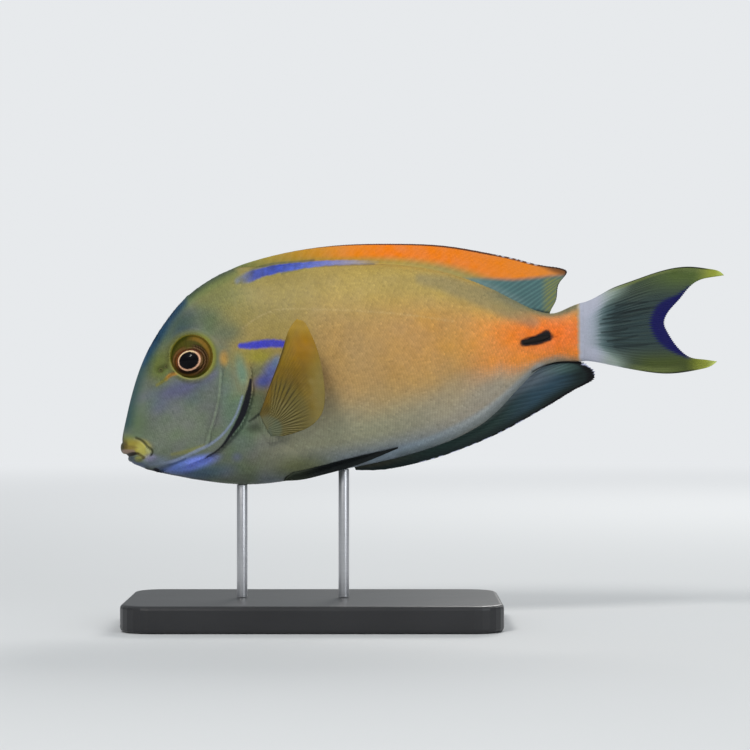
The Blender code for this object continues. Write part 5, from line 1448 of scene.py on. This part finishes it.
def standMaterial(name):
    # tone and roughness follow a broad noise and the height a fine one, both drawn out by the stretch
    finish = standFinishes[name]
    made, tree = newMaterial(name)
    place = addNode(tree, "Mapping", [("Vector", objectPlace(tree)), ("Scale", finish["stretch"])])
    broad, fine = (addNoise(tree, place, *finish[key]) for key in ("broad", "fine"))
    tones = [("Factor", broad), ("A", finish["dark"]), ("B", finish["pale"])]
    colour = addNode(tree, "Mix", tones, data_type="RGBA").outputs["Result"]
    low, high = finish["rough"]
    rough = addNode(tree, "MapRange", [("Value", broad), ("To Min", low), ("To Max", high)])
    relief = addNode(tree, "Bump", [("Height", fine), ("Strength", finish["bump"]), ("Distance", 0.0001)])
    addSurface(tree, [
        ("Base Color", colour), ("Metallic", finish["metal"]), ("Roughness", rough), ("Normal", relief)])
    return made


rodSteel = standMaterial("brushedRod")


def buildRod(name, x, node):
    # a turned profile: a plain rod from the plate to the belly, with a small bevel at its top
    low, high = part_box(node)
    foot, top = low.z / millimetre, high.z / millimetre
    r, b = stand["rodRadius"], stand["bevel"]
    profile = [(0, foot), (r, foot), (r, foot + stand["foot"]), (r, top - b),
               (r - b * 0.3, top - b * 0.3), (r - b, top), (0, top)]
    reach, z = (part[:, None] for part in np.array(profile).T)
    around = roundTurn(stand["steps"])
    x = x - fishFrame["length"] / 2 + reach * np.cos(around)
    points = np.stack([x, reach * np.sin(around), z + 0 * around], axis=-1).reshape(-1, 3)
    triangles = halved(gridFaces(len(profile), stand["steps"], wrapColumns=True))
    made = makePiece(name, points, faceOut(points - points.mean(axis=0), triangles), rodSteel,
                     replaced=(node,), inFish=False)
    made.data.set_sharp_from_angle(angle=math.radians(35))


buildRod("rodFront", stand["rodX"][0], "stand_rod_front")
buildRod("rodRear", stand["rodX"][1], "stand_rod_rear")
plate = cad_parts["stand_base"]
plate.data.materials.clear()
plate.data.materials.append(standMaterial("blackLacquer"))
print("stand made")


# Floor, light and camera

# these lengths are in metres
room = {"floorRadius": 9.0, "steps": 96, "below": 0.00005, "floorColour": (0.64, 0.65, 0.66),
        "far": (0.8, 0.82, 0.84), "fadeFrom": 0.25, "fadeTo": 1.4, "lowGlow": 0.1, "highGlow": 0.62}
lights = (
    ("keyLight", (-0.4, -0.8, 0.85), 0.3, 6.8, (1.0, 0.975, 0.94)),
    ("fillLight", (0.65, -0.75, 0.35), 0.5, 1.6, (0.93, 0.97, 1.0)),
    ("backLight", (0.3, 0.85, 0.65), 0.5, 5.0, (1.0, 0.98, 0.95)),
)
lightAim = (0, 0, 0.075)


def buildFloor():
    # a flat disc just under the stand, whose material fades to the colour of the air far off
    steps = room["steps"]
    rim = [(room["floorRadius"] * math.cos(turn), room["floorRadius"] * math.sin(turn), -room["below"])
           for turn in roundTurn(steps)]
    mesh = bpy.data.meshes.new("floor")
    faces = [(j, (j + 1) % steps, steps) for j in range(steps)]
    mesh.from_pydata([*rim, (0, 0, -room["below"])], [], faces)
    made = bpy.data.objects.new("floor", mesh)
    bpy.context.scene.collection.objects.link(made)
    material, tree = newMaterial("paleFloor")
    away = addNode(tree, "VectorMath", [(0, objectPlace(tree))], operation="LENGTH").outputs["Value"]
    fade = addNode(tree, "MapRange", [("Value", away), ("From Min", room["fadeFrom"]),
                                      ("From Max", room["fadeTo"])], interpolation_type="SMOOTHSTEP")
    matte = addNode(tree, "BsdfPrincipled", [
        ("Base Color", (*room["floorColour"], 1)), ("Roughness", 0.9), ("Specular IOR Level", 0.1)])
    air = addNode(tree, "Emission", [("Color", (*room["far"], 1)), ("Strength", 1.0)])
    both = addNode(tree, "MixShader", [(0, fade), (1, matte), (2, air)])
    addNode(tree, "OutputMaterial", [("Surface", both)])
    mesh.materials.append(material)


def addLight(name, at, size, power, colour):
    light = bpy.data.lights.new(name, "AREA")
    light.shape, light.size, light.energy, light.color = "DISK", size, power, colour
    made = bpy.data.objects.new(name, light)
    made.location = at
    made.rotation_euler = (Vector(lightAim) - Vector(at)).to_track_quat("-Z", "Y").to_euler()
    bpy.context.scene.collection.objects.link(made)


def setRoom():
    # the air looks evenly pale, while its light is dimmer and comes mostly from above
    world = bpy.data.worlds.new("air")
    world.use_nodes = True
    tree = world.node_tree
    tree.nodes.clear()
    split = addNode(tree, "SeparateXYZ", [(0, addNode(tree, "TexCoord").outputs["Generated"])])
    strength = addNode(tree, "MapRange", [
        ("Value", split.outputs["Z"]), ("From Min", -0.6), ("From Max", 0.9),
        ("To Min", room["lowGlow"]), ("To Max", room["highGlow"])])
    glow = addNode(tree, "Background", [("Color", (0.9, 0.96, 1.0, 1)), ("Strength", strength)])
    seen = addNode(tree, "Background", [("Color", (*room["far"], 1)), ("Strength", 1.0)])
    ray = addNode(tree, "LightPath").outputs["Is Camera Ray"]
    both = addNode(tree, "MixShader", [(0, ray), (1, glow), (2, seen)])
    addNode(tree, "OutputWorld", [("Surface", both)])
    bpy.context.scene.world = world
    bpy.context.scene.view_settings.view_transform = "Standard"
    for light in lights:
        addLight(*light)


camera = {"centrePixel": (375, 375), "pixel": 0.3, "firstColumn": 120.5, "bellyRow": 484,
          "lens": 120.0, "sensor": 36.0, "width": 225.0}


def setCamera():
    # level with the picture's middle and far enough to see the width at the fish's middle plane
    x = (camera["centrePixel"][0] - camera["firstColumn"]) * camera["pixel"] - fishFrame["length"] / 2
    z = (camera["bellyRow"] - camera["centrePixel"][1]) * camera["pixel"] + fishFrame["bellyHeight"]
    data = bpy.data.cameras.new("sideCamera")
    data.lens, data.sensor_width = camera["lens"], camera["sensor"]
    away = camera["width"] * camera["lens"] / camera["sensor"]
    data.clip_start, data.clip_end = 0.01, 100.0
    made = bpy.data.objects.new("sideCamera", data)
    made.location = (x * millimetre, -away * millimetre, z * millimetre)
    made.rotation_euler = (math.radians(90), 0, 0)
    bpy.context.scene.collection.objects.link(made)
    bpy.context.scene.camera = made


buildFloor()
setRoom()
setCamera()
print("floor, light and camera set")
